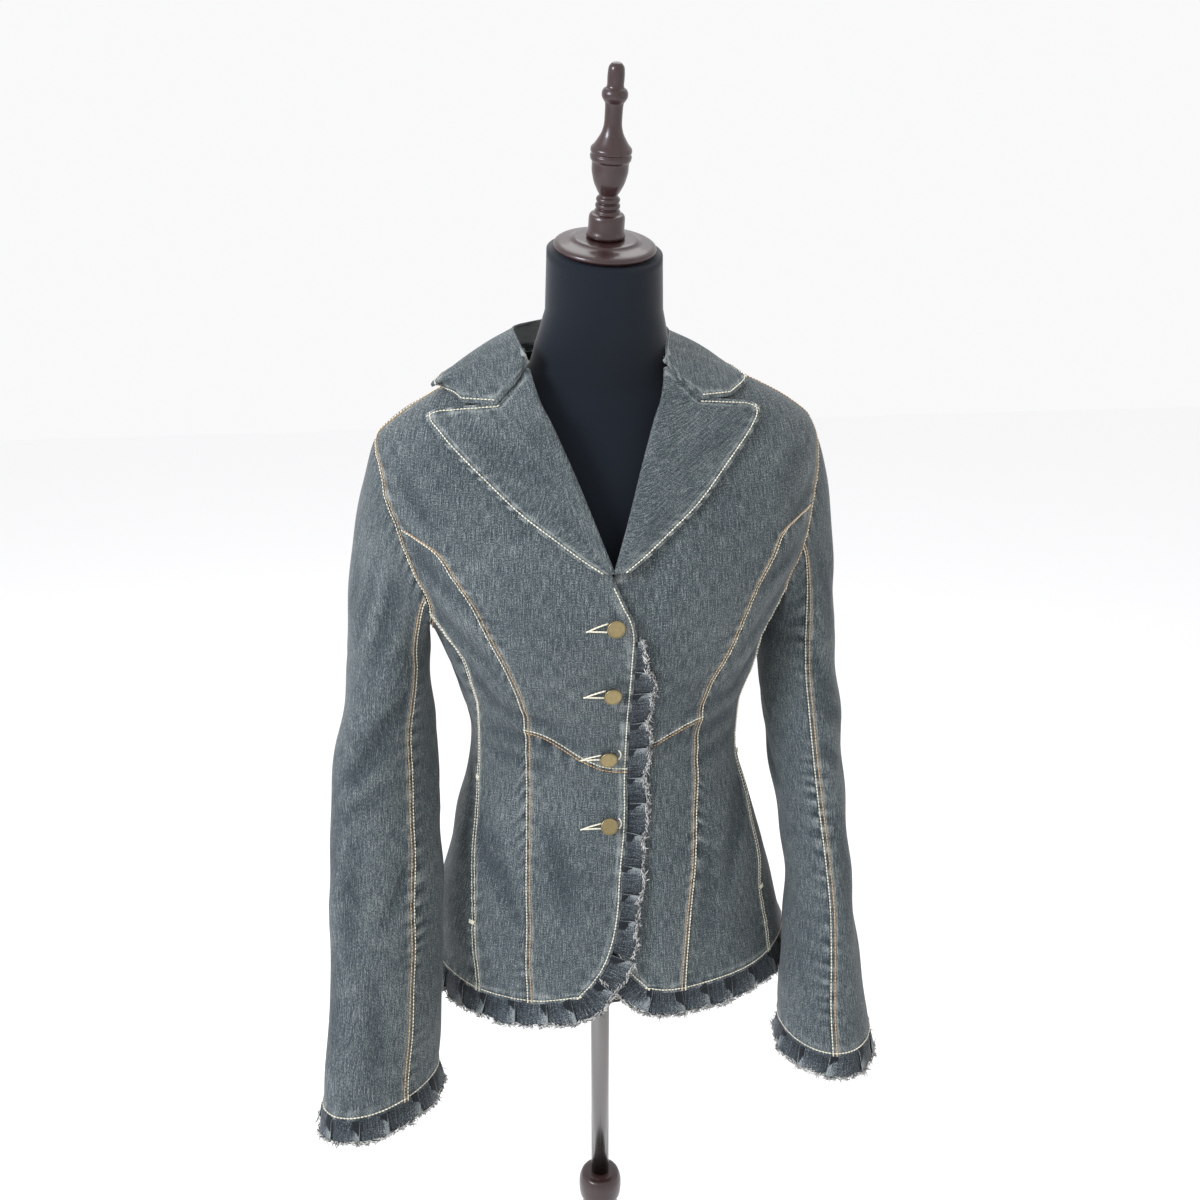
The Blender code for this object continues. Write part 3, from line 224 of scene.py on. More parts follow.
# %% Curves through a table
def hermite(t, start, end, slope0, slope1, span=1.0):
    """A smooth curve from start to end that sets off and arrives with the given slopes."""
    return ((2 * t**3 - 3 * t**2 + 1) * start + (t**3 - 2 * t**2 + t) * span * slope0
            + (-2 * t**3 + 3 * t**2) * end + (t**3 - t**2) * span * slope1)


def column(rows, key, index):
    table = np.array(sorted(rows), dtype=float)
    keys, values = table[:, 0], table[:, index]
    key = np.clip(key, keys[0], keys[-1])
    k = np.clip(np.searchsorted(keys, key, side="left") - 1, 0, len(keys) - 2)
    before, after = np.maximum(k - 1, 0), np.minimum(k + 2, len(keys) - 1)
    span = keys[k + 1] - keys[k]
    slope0 = (values[k + 1] - values[before]) / (keys[k + 1] - keys[before])
    slope1 = (values[after] - values[k]) / (keys[after] - keys[k])
    return hermite((key - keys[k]) / span, values[k], values[k + 1], slope0, slope1, span)


def smooth(edge0, edge1, value):
    t = np.clip((np.asarray(value, dtype=float) - edge0) / (edge1 - edge0), 0.0, 1.0)
    return t * t * (3.0 - 2.0 * t)


def finer(line, times):
    """More points on a smooth curve through the given ones, which all stay."""
    line = np.asarray(line, dtype=float)
    at = np.linspace(0.0, len(line) - 1.0, (len(line) - 1) * times + 1)
    k = np.clip(np.floor(at).astype(int), 0, len(line) - 2)
    t = (at - k).reshape(-1, *([1] * (line.ndim - 1)))
    before, after = np.maximum(k - 1, 0), np.minimum(k + 2, len(line) - 1)
    slope0 = (line[k + 1] - line[before]) / (k + 1 - before).reshape(t.shape)
    slope1 = (line[after] - line[k]) / (after - k).reshape(t.shape)
    return hermite(t, line[k], line[k + 1], slope0, slope1)


def follow(at, known, values):
    """Points along a line of values, read at given places between the known ones."""
    return np.stack([np.interp(at, known, each) for each in values.T], axis=-1)


def unit(vectors):
    return vectors / np.maximum(np.linalg.norm(vectors, axis=-1, keepdims=True), 1e-12)


def run_length(points):
    """Distance along a line of points, from its start."""
    steps = np.linalg.norm(np.diff(points, axis=0), axis=-1)
    return np.concatenate([[0.0], np.cumsum(steps)])


print("bust half width", float(column(BODY, 1.08, 1)), "m")

# %% The jacket's outside
def lean(points):
    points = np.array(points, dtype=float)
    points[..., 2] += SIDE_LEAN * smooth(LEAN_END_Z, LEAN_FULL_Z, points[..., 2]) * points[..., 0]
    return points


def outline(table, turn, z, out=0.0):
    """A point at a turn in degrees around a body: 0 is the centre front, 90 the wearer's left side."""
    half, front, back, square, shift = (column(table, z, k) for k in range(1, 6))
    angle = np.radians(turn)
    sine, cosine = np.sin(angle), np.cos(angle)
    depth = np.where(cosine > 0, front, back)
    x = shift + (half + out) * np.sign(sine) * np.abs(sine) ** (2.0 / square)
    y = -(depth + out) * np.sign(cosine) * np.abs(cosine) ** (2.0 / square)
    return np.stack([x, y, z + 0.0 * x], axis=-1)


def body_normal(turn, z):
    aside = outline(BODY, turn + 1.0, z) - outline(BODY, turn - 1.0, z)
    up = outline(BODY, turn, z + 0.003) - outline(BODY, turn, z - 0.003)
    return unit(np.cross(aside, up))


def turn_at(x, z):
    half, square, shift = (column(BODY, z, k) for k in (1, 4, 5))
    ratio = np.minimum(1.0, np.abs(x - shift) / half)
    return np.sign(x - shift) * np.degrees(np.arcsin(ratio ** (square / 2.0)))


def even(first, last, count):
    return np.linspace(first, last, count)


# %% [markdown]
# ## The seams
#
# Each seam is a line of (turn, height) pairs. Two pieces that are sewn together share the very same
# line, which is what makes them meet. Every line is first set by few points, then made finer.

# %% Seam lines of one half
def pairs_of(turn, z):
    return np.stack([turn, z], axis=-1)


def princess_line(side, z):
    middle = PRINCESS_MIDDLE_X + PRINCESS_SWING * smooth(*SWING_Z, z)
    return pairs_of(side * turn_at(middle + side * column(PRINCESS, z, 1), z), z)


def edge_turn(side, z):
    reach = OVERLAP * smooth(BREAK_Z, BREAK_Z - 0.045, z) - column(CORNER, z, 1)
    return side * turn_at(CLOSURE_X - side * reach, z)


def hem_level(turn):
    return HEM_Z - 0.003 * np.sin(np.radians(2.0 * np.minimum(np.abs(turn), 90.0)))


def hem_run(first, last, count):
    turns = even(first, last, count)
    return pairs_of(turns, hem_level(turns))


def tabled(table, first, last, count):
    z = even(first, last, count)
    return pairs_of(column(table, z, 1), z)


def resample(line, count):
    return follow(even(0.0, len(line) - 1.0, count), np.arange(len(line)), line)


def seams(side):
    line = {"shoulder": pairs_of(np.full(5, 90.0), even(NECK_Z, TIP_Z, 5))}
    line["arm_front_high"] = tabled(ARM_FRONT, TIP_Z, YOKE_Z, 4)
    line["arm_front_low"] = tabled(ARM_FRONT, YOKE_Z, SIDE_TOP_Z, 5)
    high = princess_line(side, even(PRINCESS[0][0], WAIST_SIDE_Z, 9))
    line["princess_high"] = np.vstack([line["arm_front_high"][-1:], high])
    low = princess_line(side, even(WAIST_SIDE_Z, HEM_Z, 9))
    low[-1, 1] = hem_level(low[-1, 0])
    line["princess_low"] = low
    z = even(NECK_Z, BREAK_Z, 9)
    line["roll"] = pairs_of(side * turn_at(CLOSURE_X + side * column(ROLL, z, 1), z), z)
    z = even(BREAK_Z, WAIST_EDGE_Z, 9)
    line["edge_high"] = pairs_of(edge_turn(side, z), z)
    z = np.array([0.882, 0.850, 0.815, 0.780, 0.750, 0.725, 0.703, 0.685, 0.672])
    line["edge_low"] = pairs_of(edge_turn(side, z), z)
    corner, share = line["edge_low"][-1], even(0.0, 1.0, 6)
    turn = corner[0] + share * (low[-1, 0] - corner[0])
    z = hem_level(turn) + (corner[1] - hem_level(corner[0])) * (1.0 - share) ** 2
    line["hem_front"] = pairs_of(turn, z)
    first, last = line["edge_high"][-1], line["princess_high"][-1]
    z = first[1] + (last[1] - first[1]) * smooth(0.0, 1.0, share)
    line["waist"] = pairs_of(first[0] + share * (last[0] - first[0]), z)
    line["side"] = tabled(SIDE_SEAM, SIDE_TOP_Z, HEM_Z, 14)
    line["side"][0] = line["arm_front_low"][-1]
    line["side"][-1, 1] = hem_level(line["side"][-1, 0])
    line["arm_back_high"] = tabled(ARM_BACK, TIP_Z, BACK_TOP_Z, 4)
    line["back_princess"] = tabled(BACK_PRINCESS, BACK_TOP_Z, HEM_Z, 14)
    line["back_princess"][0] = line["arm_back_high"][-1]
    share = even(0.0, 1.0, 8)[:, None]
    floor = line["side"][0] + share * (line["back_princess"][0] - line["side"][0])
    floor[:, 1] += (ARM_FLOOR_Z - floor[:, 1]) * np.sin(math.pi * share[:, 0]) ** 0.8
    line["arm_floor"] = floor
    line["centre_back"] = pairs_of(np.full(21, 180.0), even(NECK_Z, HEM_Z, 21))
    return line


FINE = 8
coarse = {side: seams(side) for side in (-1, 1)}
SEAMS = {side: {name: finer(line, FINE) for name, line in coarse[side].items()} for side in (-1, 1)}
print("each half has", len(SEAMS[1]), "seam lines")

# %% [markdown]
# ## Colours and nodes
#
# Colours are written as the hex values a painter would mix; one function turns them into the
# linear light that Blender works in. One small helper adds a node, sets it and links it.

# %% Colour and node helpers
def linear(hex_code):
    def channel(value):
        return value / 12.92 if value <= 0.04045 else ((value + 0.055) / 1.055) ** 2.4
    return tuple(channel(int(hex_code[k:k + 2], 16) / 255.0) for k in (1, 3, 5)) + (1.0,)


def node(tree, kind, links=None, **settings):
    """Add a node; settings are its properties or input names, links are (input, socket) pairs."""
    made = tree.nodes.new(kind)
    for name, value in settings.items():
        key = name.replace("__", " ")
        if hasattr(made, name):
            setattr(made, name, value)
        else:
            made.inputs[key].default_value = value
    for target, source in (links or {}).items():
        tree.links.new(source, made.inputs[target])
    return made


def new_material(name, colour, roughness, metallic=0.0, **sockets):
    made = bpy.data.materials.new(name)
    made.use_nodes = True
    shader = made.node_tree.nodes["Principled BSDF"]
    shader.inputs["Base Color"].default_value = linear(colour)
    shader.inputs["Roughness"].default_value = roughness
    shader.inputs["Metallic"].default_value = metallic
    for name, value in sockets.items():
        shader.inputs[name.replace("__", " ")].default_value = value
    return made, made.node_tree, shader


def mixed(tree, factor, first, second):
    """A colour between two: each is a hex code or a socket."""
    made = node(tree, "ShaderNodeMix", data_type="RGBA")
    tree.links.new(factor, made.inputs["Factor"])
    for slot, value in ((6, first), (7, second)):
        if isinstance(value, str):
            made.inputs[slot].default_value = linear(value)
        else:
            tree.links.new(value, made.inputs[slot])
    return made.outputs[2]


def sums(tree, operation, first, second=None, clamp=False):
    made = node(tree, "ShaderNodeMath", operation=operation, use_clamp=clamp)
    for slot, value in enumerate((first, second)):
        if isinstance(value, (int, float)):
            made.inputs[slot].default_value = value
        elif value is not None:
            tree.links.new(value, made.inputs[slot])
    return made.outputs[0]


def swung(tree, value, middle, gain):
    """How far a value is from its middle, times a gain."""
    return sums(tree, "MULTIPLY", sums(tree, "SUBTRACT", value, middle), gain)


def place_in(tree):
    return node(tree, "ShaderNodeTexCoord").outputs["Object"]


def bumped(tree, shader, height, strength, distance):
    made = node(tree, "ShaderNodeBump", {"Height": height}, Strength=strength, Distance=distance)
    tree.links.new(made.outputs[0], shader.inputs["Normal"])


print("mid denim is", [round(value, 3) for value in linear("#616b71")])

# %% [markdown]
# ## Washed denim
#
# Denim is a cotton twill of dark warp over pale weft. Slubby, uneven yarns run down the cloth, and
# stone washing rubs the dye off wherever the cloth stands proud: at puckers, seam edges and creases.
# The yarns here follow the cloth's own flat cut (its UV map is in metres), and an attribute says how
# much each spot was rubbed. It also carries painted shade and light: darker in crease troughs, pucker
# hollows, seam ditches and the tucks under the ruffle pleats, paler on crease shoulders and on the
# collar stand by the neck. Single yarns are 0.5 mm; they are drawn just under 1 mm wide, which is the
# finest that shows.

# %% Denim material
def yarn_noise(tree, cut, across_mm, along_mm):
    """Noise stretched along the warp: each grain is across_mm wide and along_mm long."""
    scaled = node(tree, "ShaderNodeMapping", {"Vector": cut},
                  Scale=(1000.0 / across_mm, 1000.0 / along_mm, 1.0))
    made = node(tree, "ShaderNodeTexNoise", {"Vector": scaled.outputs[0]}, noise_dimensions="2D",
                Scale=1.0, Detail=2.0, Roughness=0.6)
    return made.outputs["Fac"]


def denim_material(name, dark, middle, pale, wear_and_shade_gain):
    made, tree, shader = new_material(name, middle, 0.86, Sheen__Weight=0.12, Sheen__Roughness=0.5,
                                      Specular__IOR__Level=0.25)
    cut = node(tree, "ShaderNodeUVMap", uv_map="Cut").outputs[0]
    place = place_in(tree)
    warp = yarn_noise(tree, cut, 0.85, 13.0)
    weft = yarn_noise(tree, cut, 6.0, 0.95)
    speck = yarn_noise(tree, cut, 0.85, 1.1)
    cloud = node(tree, "ShaderNodeTexNoise", {"Vector": place}, Scale=16.0, Detail=3.0, Roughness=0.55)
    wear_and_shading = node(tree, "ShaderNodeAttribute", attribute_name="wear_and_shading").outputs["Fac"]
    yarn = sums(tree, "ADD", sums(tree, "MULTIPLY", warp, 0.42), sums(tree, "MULTIPLY", weft, 0.20))
    yarn = sums(tree, "ADD", yarn, sums(tree, "MULTIPLY", speck, 0.62))
    grain = swung(tree, yarn, 0.62, 2.7)
    broad = swung(tree, cloud.outputs["Fac"], 0.5, 0.30)
    # The attribute mixes rubbed wear with painted shade and light, and both lighten or darken the denim here.
    rubbed_and_shaded = swung(tree, wear_and_shading, 0.5, wear_and_shade_gain)
    tone = sums(tree, "ADD", sums(tree, "ADD", grain, broad), sums(tree, "ADD", rubbed_and_shaded, 0.5), clamp=True)
    ramp = node(tree, "ShaderNodeValToRGB", {"Fac": tone})
    ramp.color_ramp.elements[0].color = linear(dark)
    ramp.color_ramp.elements[1].color = linear(pale)
    ramp.color_ramp.elements.new(0.5).color = linear(middle)
    tree.links.new(ramp.outputs["Color"], shader.inputs["Base Color"])
    bumped(tree, shader, yarn, 0.35, 0.0004)
    return made


washed_denim = denim_material("washed stretch denim", "#20272b", "#404a4e", "#868b89", 1.25)
raw_denim = denim_material("raw cut denim strip", "#101419", "#394147", "#8a9192", 1.6)
# Painted shade: this near-black denim lines the pocket slits and stands in for the shade inside the pockets.
pocket_shade_denim = denim_material("unwashed inside of the denim", "#0d1017", "#1b202a", "#3a424c", 1.0)
print("three states of the same denim")

# %% [markdown]
# ## Thread, form cloth, wood and metal
#
# Topstitching uses thick polyester-core cotton in two colours, cream and tan. The form is covered in
# matt black jersey, a knit with a soft sheen and no shine. The cap, finial and stand are turned wood
# under dark red-brown lacquer: the grain is faint and a thin clear coat does the shining. The pole is
# chrome-plated steel tube, and the buttons are stamped brass, darkened and rubbed back by hand.

# %% The other materials
def toned(name, dark, pale, attribute, roughness):
    made, tree, shader = new_material(name, pale, roughness, Sheen__Weight=0.2)
    tone = node(tree, "ShaderNodeAttribute", attribute_name=attribute).outputs["Fac"]
    tree.links.new(mixed(tree, tone, dark, pale), shader.inputs["Base Color"])
    return made


cream_thread = toned("cream cotton thread", "#a8a692", "#efe9d2", "tone", 0.7)
tan_thread = toned("tan cotton thread", "#8a6b41", "#cfa671", "tone", 0.7)
loose_yarn = toned("frayed warp yarn", "#1d222b", "#d2d1cb", "tone", 0.85)

form_jersey, tree, shader = new_material("black cotton jersey", "#14171f", 0.92, Sheen__Weight=0.35,
                                         Sheen__Roughness=0.4, Specular__IOR__Level=0.2)
place = place_in(tree)
knit = node(tree, "ShaderNodeTexWave", {"Vector": place}, Scale=190.0, Distortion=1.5, Detail=2.0,
            bands_direction="Z")
haze = node(tree, "ShaderNodeTexNoise", {"Vector": place}, Scale=9.0, Detail=3.0)
tree.links.new(mixed(tree, haze.outputs["Fac"], "#0c1117", "#191f29"), shader.inputs["Base Color"])
bumped(tree, shader, knit.outputs["Fac"], 0.15, 0.0002)

lacquered_wood, tree, shader = new_material("beech under dark red-brown lacquer", "#2c1617", 0.34,
                                            Coat__Weight=0.30, Coat__Roughness=0.10)
place = place_in(tree)
stretched = node(tree, "ShaderNodeMapping", {"Vector": place}, Scale=(260.0, 260.0, 14.0))
grain = node(tree, "ShaderNodeTexNoise", {"Vector": stretched.outputs[0]}, Scale=1.0, Detail=4.0,
             Roughness=0.65, Distortion=0.4)
tree.links.new(mixed(tree, grain.outputs["Fac"], "#1d0f10", "#3c2222"), shader.inputs["Base Color"])
bumped(tree, shader, grain.outputs["Fac"], 0.12, 0.0003)

chrome_tube, tree, shader = new_material("chrome-plated steel", "#7a7876", 0.14, 1.0)
place = place_in(tree)
drawn = node(tree, "ShaderNodeMapping", {"Vector": place}, Scale=(900.0, 900.0, 6.0))
scuff = node(tree, "ShaderNodeTexNoise", {"Vector": drawn.outputs[0]}, Scale=1.0, Detail=2.0)
low = sums(tree, "MULTIPLY", scuff.outputs["Fac"], 0.30)
tree.links.new(sums(tree, "ADD", low, 0.04), shader.inputs["Roughness"])

antique_brass, tree, shader = new_material("antique brass", "#8d7c50", 0.38, 1.0)
place = place_in(tree)
patina = node(tree, "ShaderNodeTexNoise", {"Vector": place}, Scale=420.0, Detail=4.0, Roughness=0.7)
edge = node(tree, "ShaderNodeAttribute", attribute_name="wear_and_shading").outputs["Fac"]
worked = mixed(tree, patina.outputs["Fac"], "#7d6e4a", "#ab9d78")
tree.links.new(mixed(tree, edge, "#4d3f22", worked), shader.inputs["Base Color"])
bumped(tree, shader, patina.outputs["Fac"], 0.25, 0.0002)
print("materials so far:", [made.name for made in bpy.data.materials])

# %% [markdown]
# ## A shell of cloth
#
# Every piece is a grid of points on its outside. `shell` adds the inside one cloth thickness behind,
# joins the two around the border with a slightly rounded rim, and writes two things onto the mesh: a
# UV map in metres that follows the warp, and how worn each spot is, painted shade and light included.

# %% Grids into shells
RIM_BULGE = 0.35          # how far a cut edge swells, as a share of the wall


def grid_normals(grid):
    """Outward-facing or inward-facing unit normals; the caller knows which."""
    return unit(np.cross(np.gradient(grid, axis=1), np.gradient(grid, axis=0)))


def straight_cut(grid):
    """The cut of a panel whose warp hangs plumb: u level across its middle, v straight down."""
    level = grid[:, -1].mean(axis=0) - grid[:, 0].mean(axis=0)
    level[2] = 0.0
    return np.stack([grid @ unit(level), -grid[..., 2]], axis=-1)


def grid_cut(grid, slant=0.0):
    """The flat cut of a grid in metres: u across from its middle line, v down the warp."""
    across = np.linalg.norm(np.diff(grid, axis=1), axis=2)
    u = np.concatenate([np.zeros((len(grid), 1)), np.cumsum(across, axis=1)], axis=1)
    u -= u[:, [grid.shape[1] // 2]]
    down = np.linalg.norm(np.diff(grid, axis=0), axis=2)
    v = np.concatenate([np.zeros((1, grid.shape[1])), np.cumsum(down, axis=0)], axis=0)
    turn = math.radians(slant)
    return np.stack([u * math.cos(turn) - v * math.sin(turn), u * math.sin(turn) + v * math.cos(turn)], -1)


def mesh_object(name, points, faces, finish, attributes=None, cut=None):
    mesh = bpy.data.meshes.new(name)
    mesh.from_pydata(np.asarray(points).tolist(), [], faces)
    mesh.validate()
    for key, values in (attributes or {}).items():
        layer = mesh.attributes.new(key, "FLOAT", "POINT")
        layer.data.foreach_set("value", np.asarray(values, dtype=np.float32))
    if cut is not None:
        index = np.empty(len(mesh.loops), dtype=np.int32)
        mesh.loops.foreach_get("vertex_index", index)
        layer = mesh.uv_layers.new(name="Cut")
        layer.uv.foreach_set("vector", np.asarray(cut, dtype=np.float32)[index].ravel())
    mesh.materials.append(finish)
    mesh.shade_smooth()
    made = bpy.data.objects.new(name, mesh)
    bpy.context.scene.collection.objects.link(made)
    return made


def shell(name, outer, normals, wall, finish, wear_and_shading, slant=0.0, plumb=False, cut=None):
    """Cloth with an inside, an outside and a rounded rim; cut is its flat cut where one is known."""
    tall, wide = outer.shape[:2]
    count = tall * wide
    faces = []
    for r in range(tall - 1):
        a = r * wide + np.arange(wide - 1)
        faces.append(np.stack([a, a + 1, a + 1 + wide, a + wide], axis=1))
        faces.append(np.stack([a + wide, a + 1 + wide, a + 1, a], axis=1) + count)
    top, bottom = np.arange(wide), np.arange(wide)[::-1] + (tall - 1) * wide
    right, left = np.arange(tall) * wide + wide - 1, np.arange(tall)[::-1] * wide
    border = np.concatenate([top[:-1], right[:-1], bottom[:-1], left[:-1]])
    behind = np.concatenate([top[:-1] + wide, right[:-1] - 1, bottom[:-1] - wide, left[:-1] + 1])
    outside, inside = outer.reshape(-1, 3), (outer - normals * wall).reshape(-1, 3)
    away = unit(outside[border] - outside[behind])
    middle = (outside[border] + inside[border]) / 2 + away * wall * RIM_BULGE
    ring, following = 2 * count + np.arange(len(border)), np.roll(border, -1)
    after = np.roll(ring, -1)
    faces.append(np.stack([following, border, ring, after], axis=1))
    faces.append(np.stack([after, ring, border + count, following + count], axis=1))
    points, faces = np.vstack([outside, inside, middle]), np.vstack(faces)
    sources = np.concatenate([np.arange(count), np.arange(count), border])
    a, b, c, d = (points[faces[:, k]] for k in range(4))
    volume = (np.einsum("ij,ij->i", a, np.cross(b, c)) + np.einsum("ij,ij->i", a, np.cross(c, d))).sum()
    if volume < 0:
        faces = faces[:, ::-1]
    if cut is None:
        cut = straight_cut(outer) if plumb else grid_cut(outer, slant)
    return mesh_object(name, points, faces.tolist(), finish, {"wear_and_shading": wear_and_shading.reshape(-1)[sources]},
                       cut.reshape(-1, 2)[sources])


def wear_out(piece, slot, *nodes):
    """Let a finished piece ride on the frame, in place of the plain solids it stands for."""
    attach(piece, "root")
    if nodes:
        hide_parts(*nodes)


print("shells carry the flat cut and the wear")

# %% [markdown]
# ## Creases and puckers
#
# Cloth on a body is never smooth. Three things mark this jacket: puckers, where two rows of stitching
# draw the seam up every 15 mm or so; drag lines, which run from the arm, the bust and the waist; and a
# slow unevenness everywhere. The drag lines are listed in a table: where each one starts and
# ends, how far it bows, how wide and how deep it is. A trough has a raised shoulder on either side.

# %% Relief
CREASES = [
    # turn0   z0     turn1   z1     bow   width  depth
    (-66.0, 1.095, -34.0, 1.030, 3.0, 0.010, -0.0016),
    (-69.0, 1.060, -40.0, 0.985, -2.0, 0.012, -0.0020),
    (-74.0, 1.020, -50.0, 0.950, 3.0, 0.011, -0.0018),
    (-70.0, 1.130, -52.0, 1.075, 2.0, 0.010, -0.0014),
    (-60.0, 1.165, -44.0, 1.110, -2.0, 0.012, -0.0012),
    (-58.0, 0.955, -20.0, 0.930, 3.0, 0.010, -0.0013),
    (-60.0, 0.925, -14.0, 0.912, -3.0, 0.012, -0.0016),
    (-64.0, 0.900, -22.0, 0.890, 3.0, 0.010, -0.0012),
    (-70.0, 0.860, -47.0, 0.770, -3.0, 0.009, -0.0016),
    (-62.0, 0.845, -36.0, 0.735, 2.0, 0.012, -0.0014),
    (-82.0, 0.880, -70.0, 0.780, 2.0, 0.010, -0.0020),
    (-96.0, 0.960, -78.0, 0.905, -2.0, 0.009, -0.0020),
    (-92.0, 1.000, -74.0, 0.945, 3.0, 0.010, -0.0018),
    (-30.0, 0.850, -18.0, 0.740, 2.0, 0.014, -0.0012),
    (64.0, 1.090, 38.0, 1.045, -3.0, 0.010, -0.0016),
    (67.0, 1.055, 34.0, 0.985, 2.0, 0.012, -0.0020),
    (72.0, 1.015, 44.0, 0.940, -3.0, 0.011, -0.0018),
    (66.0, 1.140, 44.0, 1.100, 2.0, 0.010, -0.0013),
    (56.0, 1.175, 40.0, 1.130, 2.0, 0.013, -0.0011),
    (60.0, 0.950, 18.0, 0.935, -3.0, 0.010, -0.0014),
    (62.0, 0.922, 12.0, 0.905, 3.0, 0.012, -0.0015),
    (66.0, 0.895, 22.0, 0.880, -2.0, 0.010, -0.0013),
    (72.0, 0.870, 46.0, 0.790, 3.0, 0.010, -0.0018),
    (60.0, 0.850, 34.0, 0.740, -2.0, 0.012, -0.0014),
    (92.0, 0.980, 76.0, 0.920, -3.0, 0.010, -0.0020),
    (88.0, 0.880, 72.0, 0.790, -2.0, 0.010, -0.0020),
    (30.0, 0.800, 20.0, 0.700, 2.0, 0.014, -0.0012),
    (118.0, 1.070, 150.0, 1.020, 3.0, 0.012, -0.0018),
    (116.0, 1.035, 146.0, 0.975, -3.0, 0.012, -0.0020),
    (-116.0, 1.075, -148.0, 1.030, -3.0, 0.012, -0.0018),
    (-114.0, 1.030, -150.0, 0.965, 3.0, 0.012, -0.0020),
    (128.0, 0.935, 176.0, 0.915, 4.0, 0.011, -0.0018),
    (130.0, 0.905, 178.0, 0.885, -4.0, 0.012, -0.0018),
    (-126.0, 0.940, -176.0, 0.925, -4.0, 0.011, -0.0018),
    (-130.0, 0.900, -178.0, 0.880, 4.0, 0.013, -0.0018),
    (150.0, 0.840, 158.0, 0.720, 3.0, 0.014, -0.0016),
    (-146.0, 0.850, -156.0, 0.730, -3.0, 0.014, -0.0016),
    (170.0, 1.190, 150.0, 1.130, 3.0, 0.014, -0.0012),
    (-168.0, 1.195, -146.0, 1.140, -3.0, 0.014, -0.0012),
]
SLEEVE_CREASES = {
    -1: [
        # turn0   z0     turn1   z1     bow   width  depth
        (100.0, 1.075, 60.0, 0.985, 8.0, 0.010, -0.0022),
        (70.0, 1.120, 40.0, 1.010, 6.0, 0.011, -0.0018),
        (20.0, 1.140, 30.0, 1.020, 5.0, 0.013, -0.0016),
        (-30.0, 1.110, -10.0, 1.000, 8.0, 0.012, -0.0018),
        (120.0, 0.965, 60.0, 0.915, 6.0, 0.010, -0.0022),
        (110.0, 0.930, 50.0, 0.880, -6.0, 0.011, -0.0024),
        (100.0, 0.885, 30.0, 0.850, 6.0, 0.010, -0.0018),
        (30.0, 0.900, 10.0, 0.780, 8.0, 0.014, -0.0016),
        (70.0, 0.860, 60.0, 0.730, -6.0, 0.013, -0.0014),
        (120.0, 0.820, 90.0, 0.760, 5.0, 0.009, -0.0014),
        (20.0, 0.760, 30.0, 0.650, 6.0, 0.014, -0.0014),
        (80.0, 0.740, 90.0, 0.630, 6.0, 0.012, -0.0012),
        (-60.0, 0.960, -20.0, 0.890, 6.0, 0.012, -0.0020),
        (-70.0, 0.900, -20.0, 0.850, -6.0, 0.012, -0.0022),
        (230.0, 0.960, 190.0, 0.900, 6.0, 0.011, -0.0020),
        (220.0, 0.890, 180.0, 0.840, -6.0, 0.012, -0.0020),
        (-50.0, 0.800, -30.0, 0.680, 6.0, 0.014, -0.0014),
    ],
    1: [
        (95.0, 1.080, 60.0, 0.980, -6.0, 0.010, -0.0022),
        (66.0, 1.110, 36.0, 1.000, 6.0, 0.011, -0.0018),
        (15.0, 1.130, 30.0, 1.010, 5.0, 0.013, -0.0016),
        (-25.0, 1.120, -15.0, 1.010, 8.0, 0.012, -0.0016),
        (104.0, 0.975, 50.0, 0.925, 6.0, 0.010, -0.0024),
        (100.0, 0.935, 40.0, 0.885, -6.0, 0.011, -0.0024),
        (96.0, 0.890, 30.0, 0.850, 6.0, 0.010, -0.0018),
        (40.0, 0.880, 20.0, 0.760, 8.0, 0.014, -0.0016),
        (80.0, 0.830, 60.0, 0.720, -6.0, 0.012, -0.0014),
        (30.0, 0.740, 40.0, 0.640, 6.0, 0.014, -0.0013),
        (-60.0, 0.950, -20.0, 0.880, 6.0, 0.012, -0.0020),
        (-66.0, 0.890, -20.0, 0.840, -6.0, 0.012, -0.0022),
        (220.0, 0.950, 180.0, 0.890, 6.0, 0.011, -0.0020),
        (210.0, 0.880, 170.0, 0.830, -6.0, 0.012, -0.0020),
        (-40.0, 0.790, -30.0, 0.670, 6.0, 0.014, -0.0014),
    ],
}


def crease_lines(table, surface):
    """Each crease as a curved line of points on a surface, with its width and depth."""
    made = []
    for turn0, z0, turn1, z1, bow, width, depth in table:
        t = even(0.0, 1.0, 15)
        turn = turn0 + (turn1 - turn0) * t + bow * 4.0 * t * (1.0 - t)
        made.append((surface(turn, z0 + (z1 - z0) * t), width, depth))
    return made


def creased(points, lines):
    """How far each point sinks into, or stands up beside, the creases near it."""
    flat = points.reshape(-1, 3)
    total = np.zeros(len(flat))
    for line, width, depth in lines:
        low, high = line.min(axis=0) - 3 * width, line.max(axis=0) + 3 * width
        near = np.flatnonzero(((flat > low) & (flat < high)).all(axis=1))
        if not len(near):
            continue
        start, run = line[:-1], np.diff(line, axis=0)
        rel = flat[near][:, None] - start
        share = np.clip((rel * run).sum(-1) / (run * run).sum(-1), 0.0, 1.0)
        gap = np.linalg.norm(rel - share[..., None] * run, axis=-1)
        best = gap.argmin(axis=1)
        rows = np.arange(len(near))
        x = gap[rows, best] / width
        t = (best + share[rows, best]) / len(run)
        total[near] += depth * (1.0 - 0.9 * x * x) * np.exp(-x * x) * np.sin(math.pi * t) ** 0.7
    return total.reshape(points.shape[:-1])


def uneven(points, size=0.0009):
    """A slow swell with no pattern to it, about 50 to 110 mm from crest to crest."""
    x, y, z = (points[..., k] for k in range(3))
    swell = np.sin(61 * x + 23 * y + 40 * z + 1.3) + np.sin(-37 * x + 71 * y + 66 * z + 4.1)
    swell += np.sin(83 * x - 52 * y + 29 * z + 2.2) + np.sin(19 * x + 47 * y - 97 * z + 0.4)
    return swell * size / 2


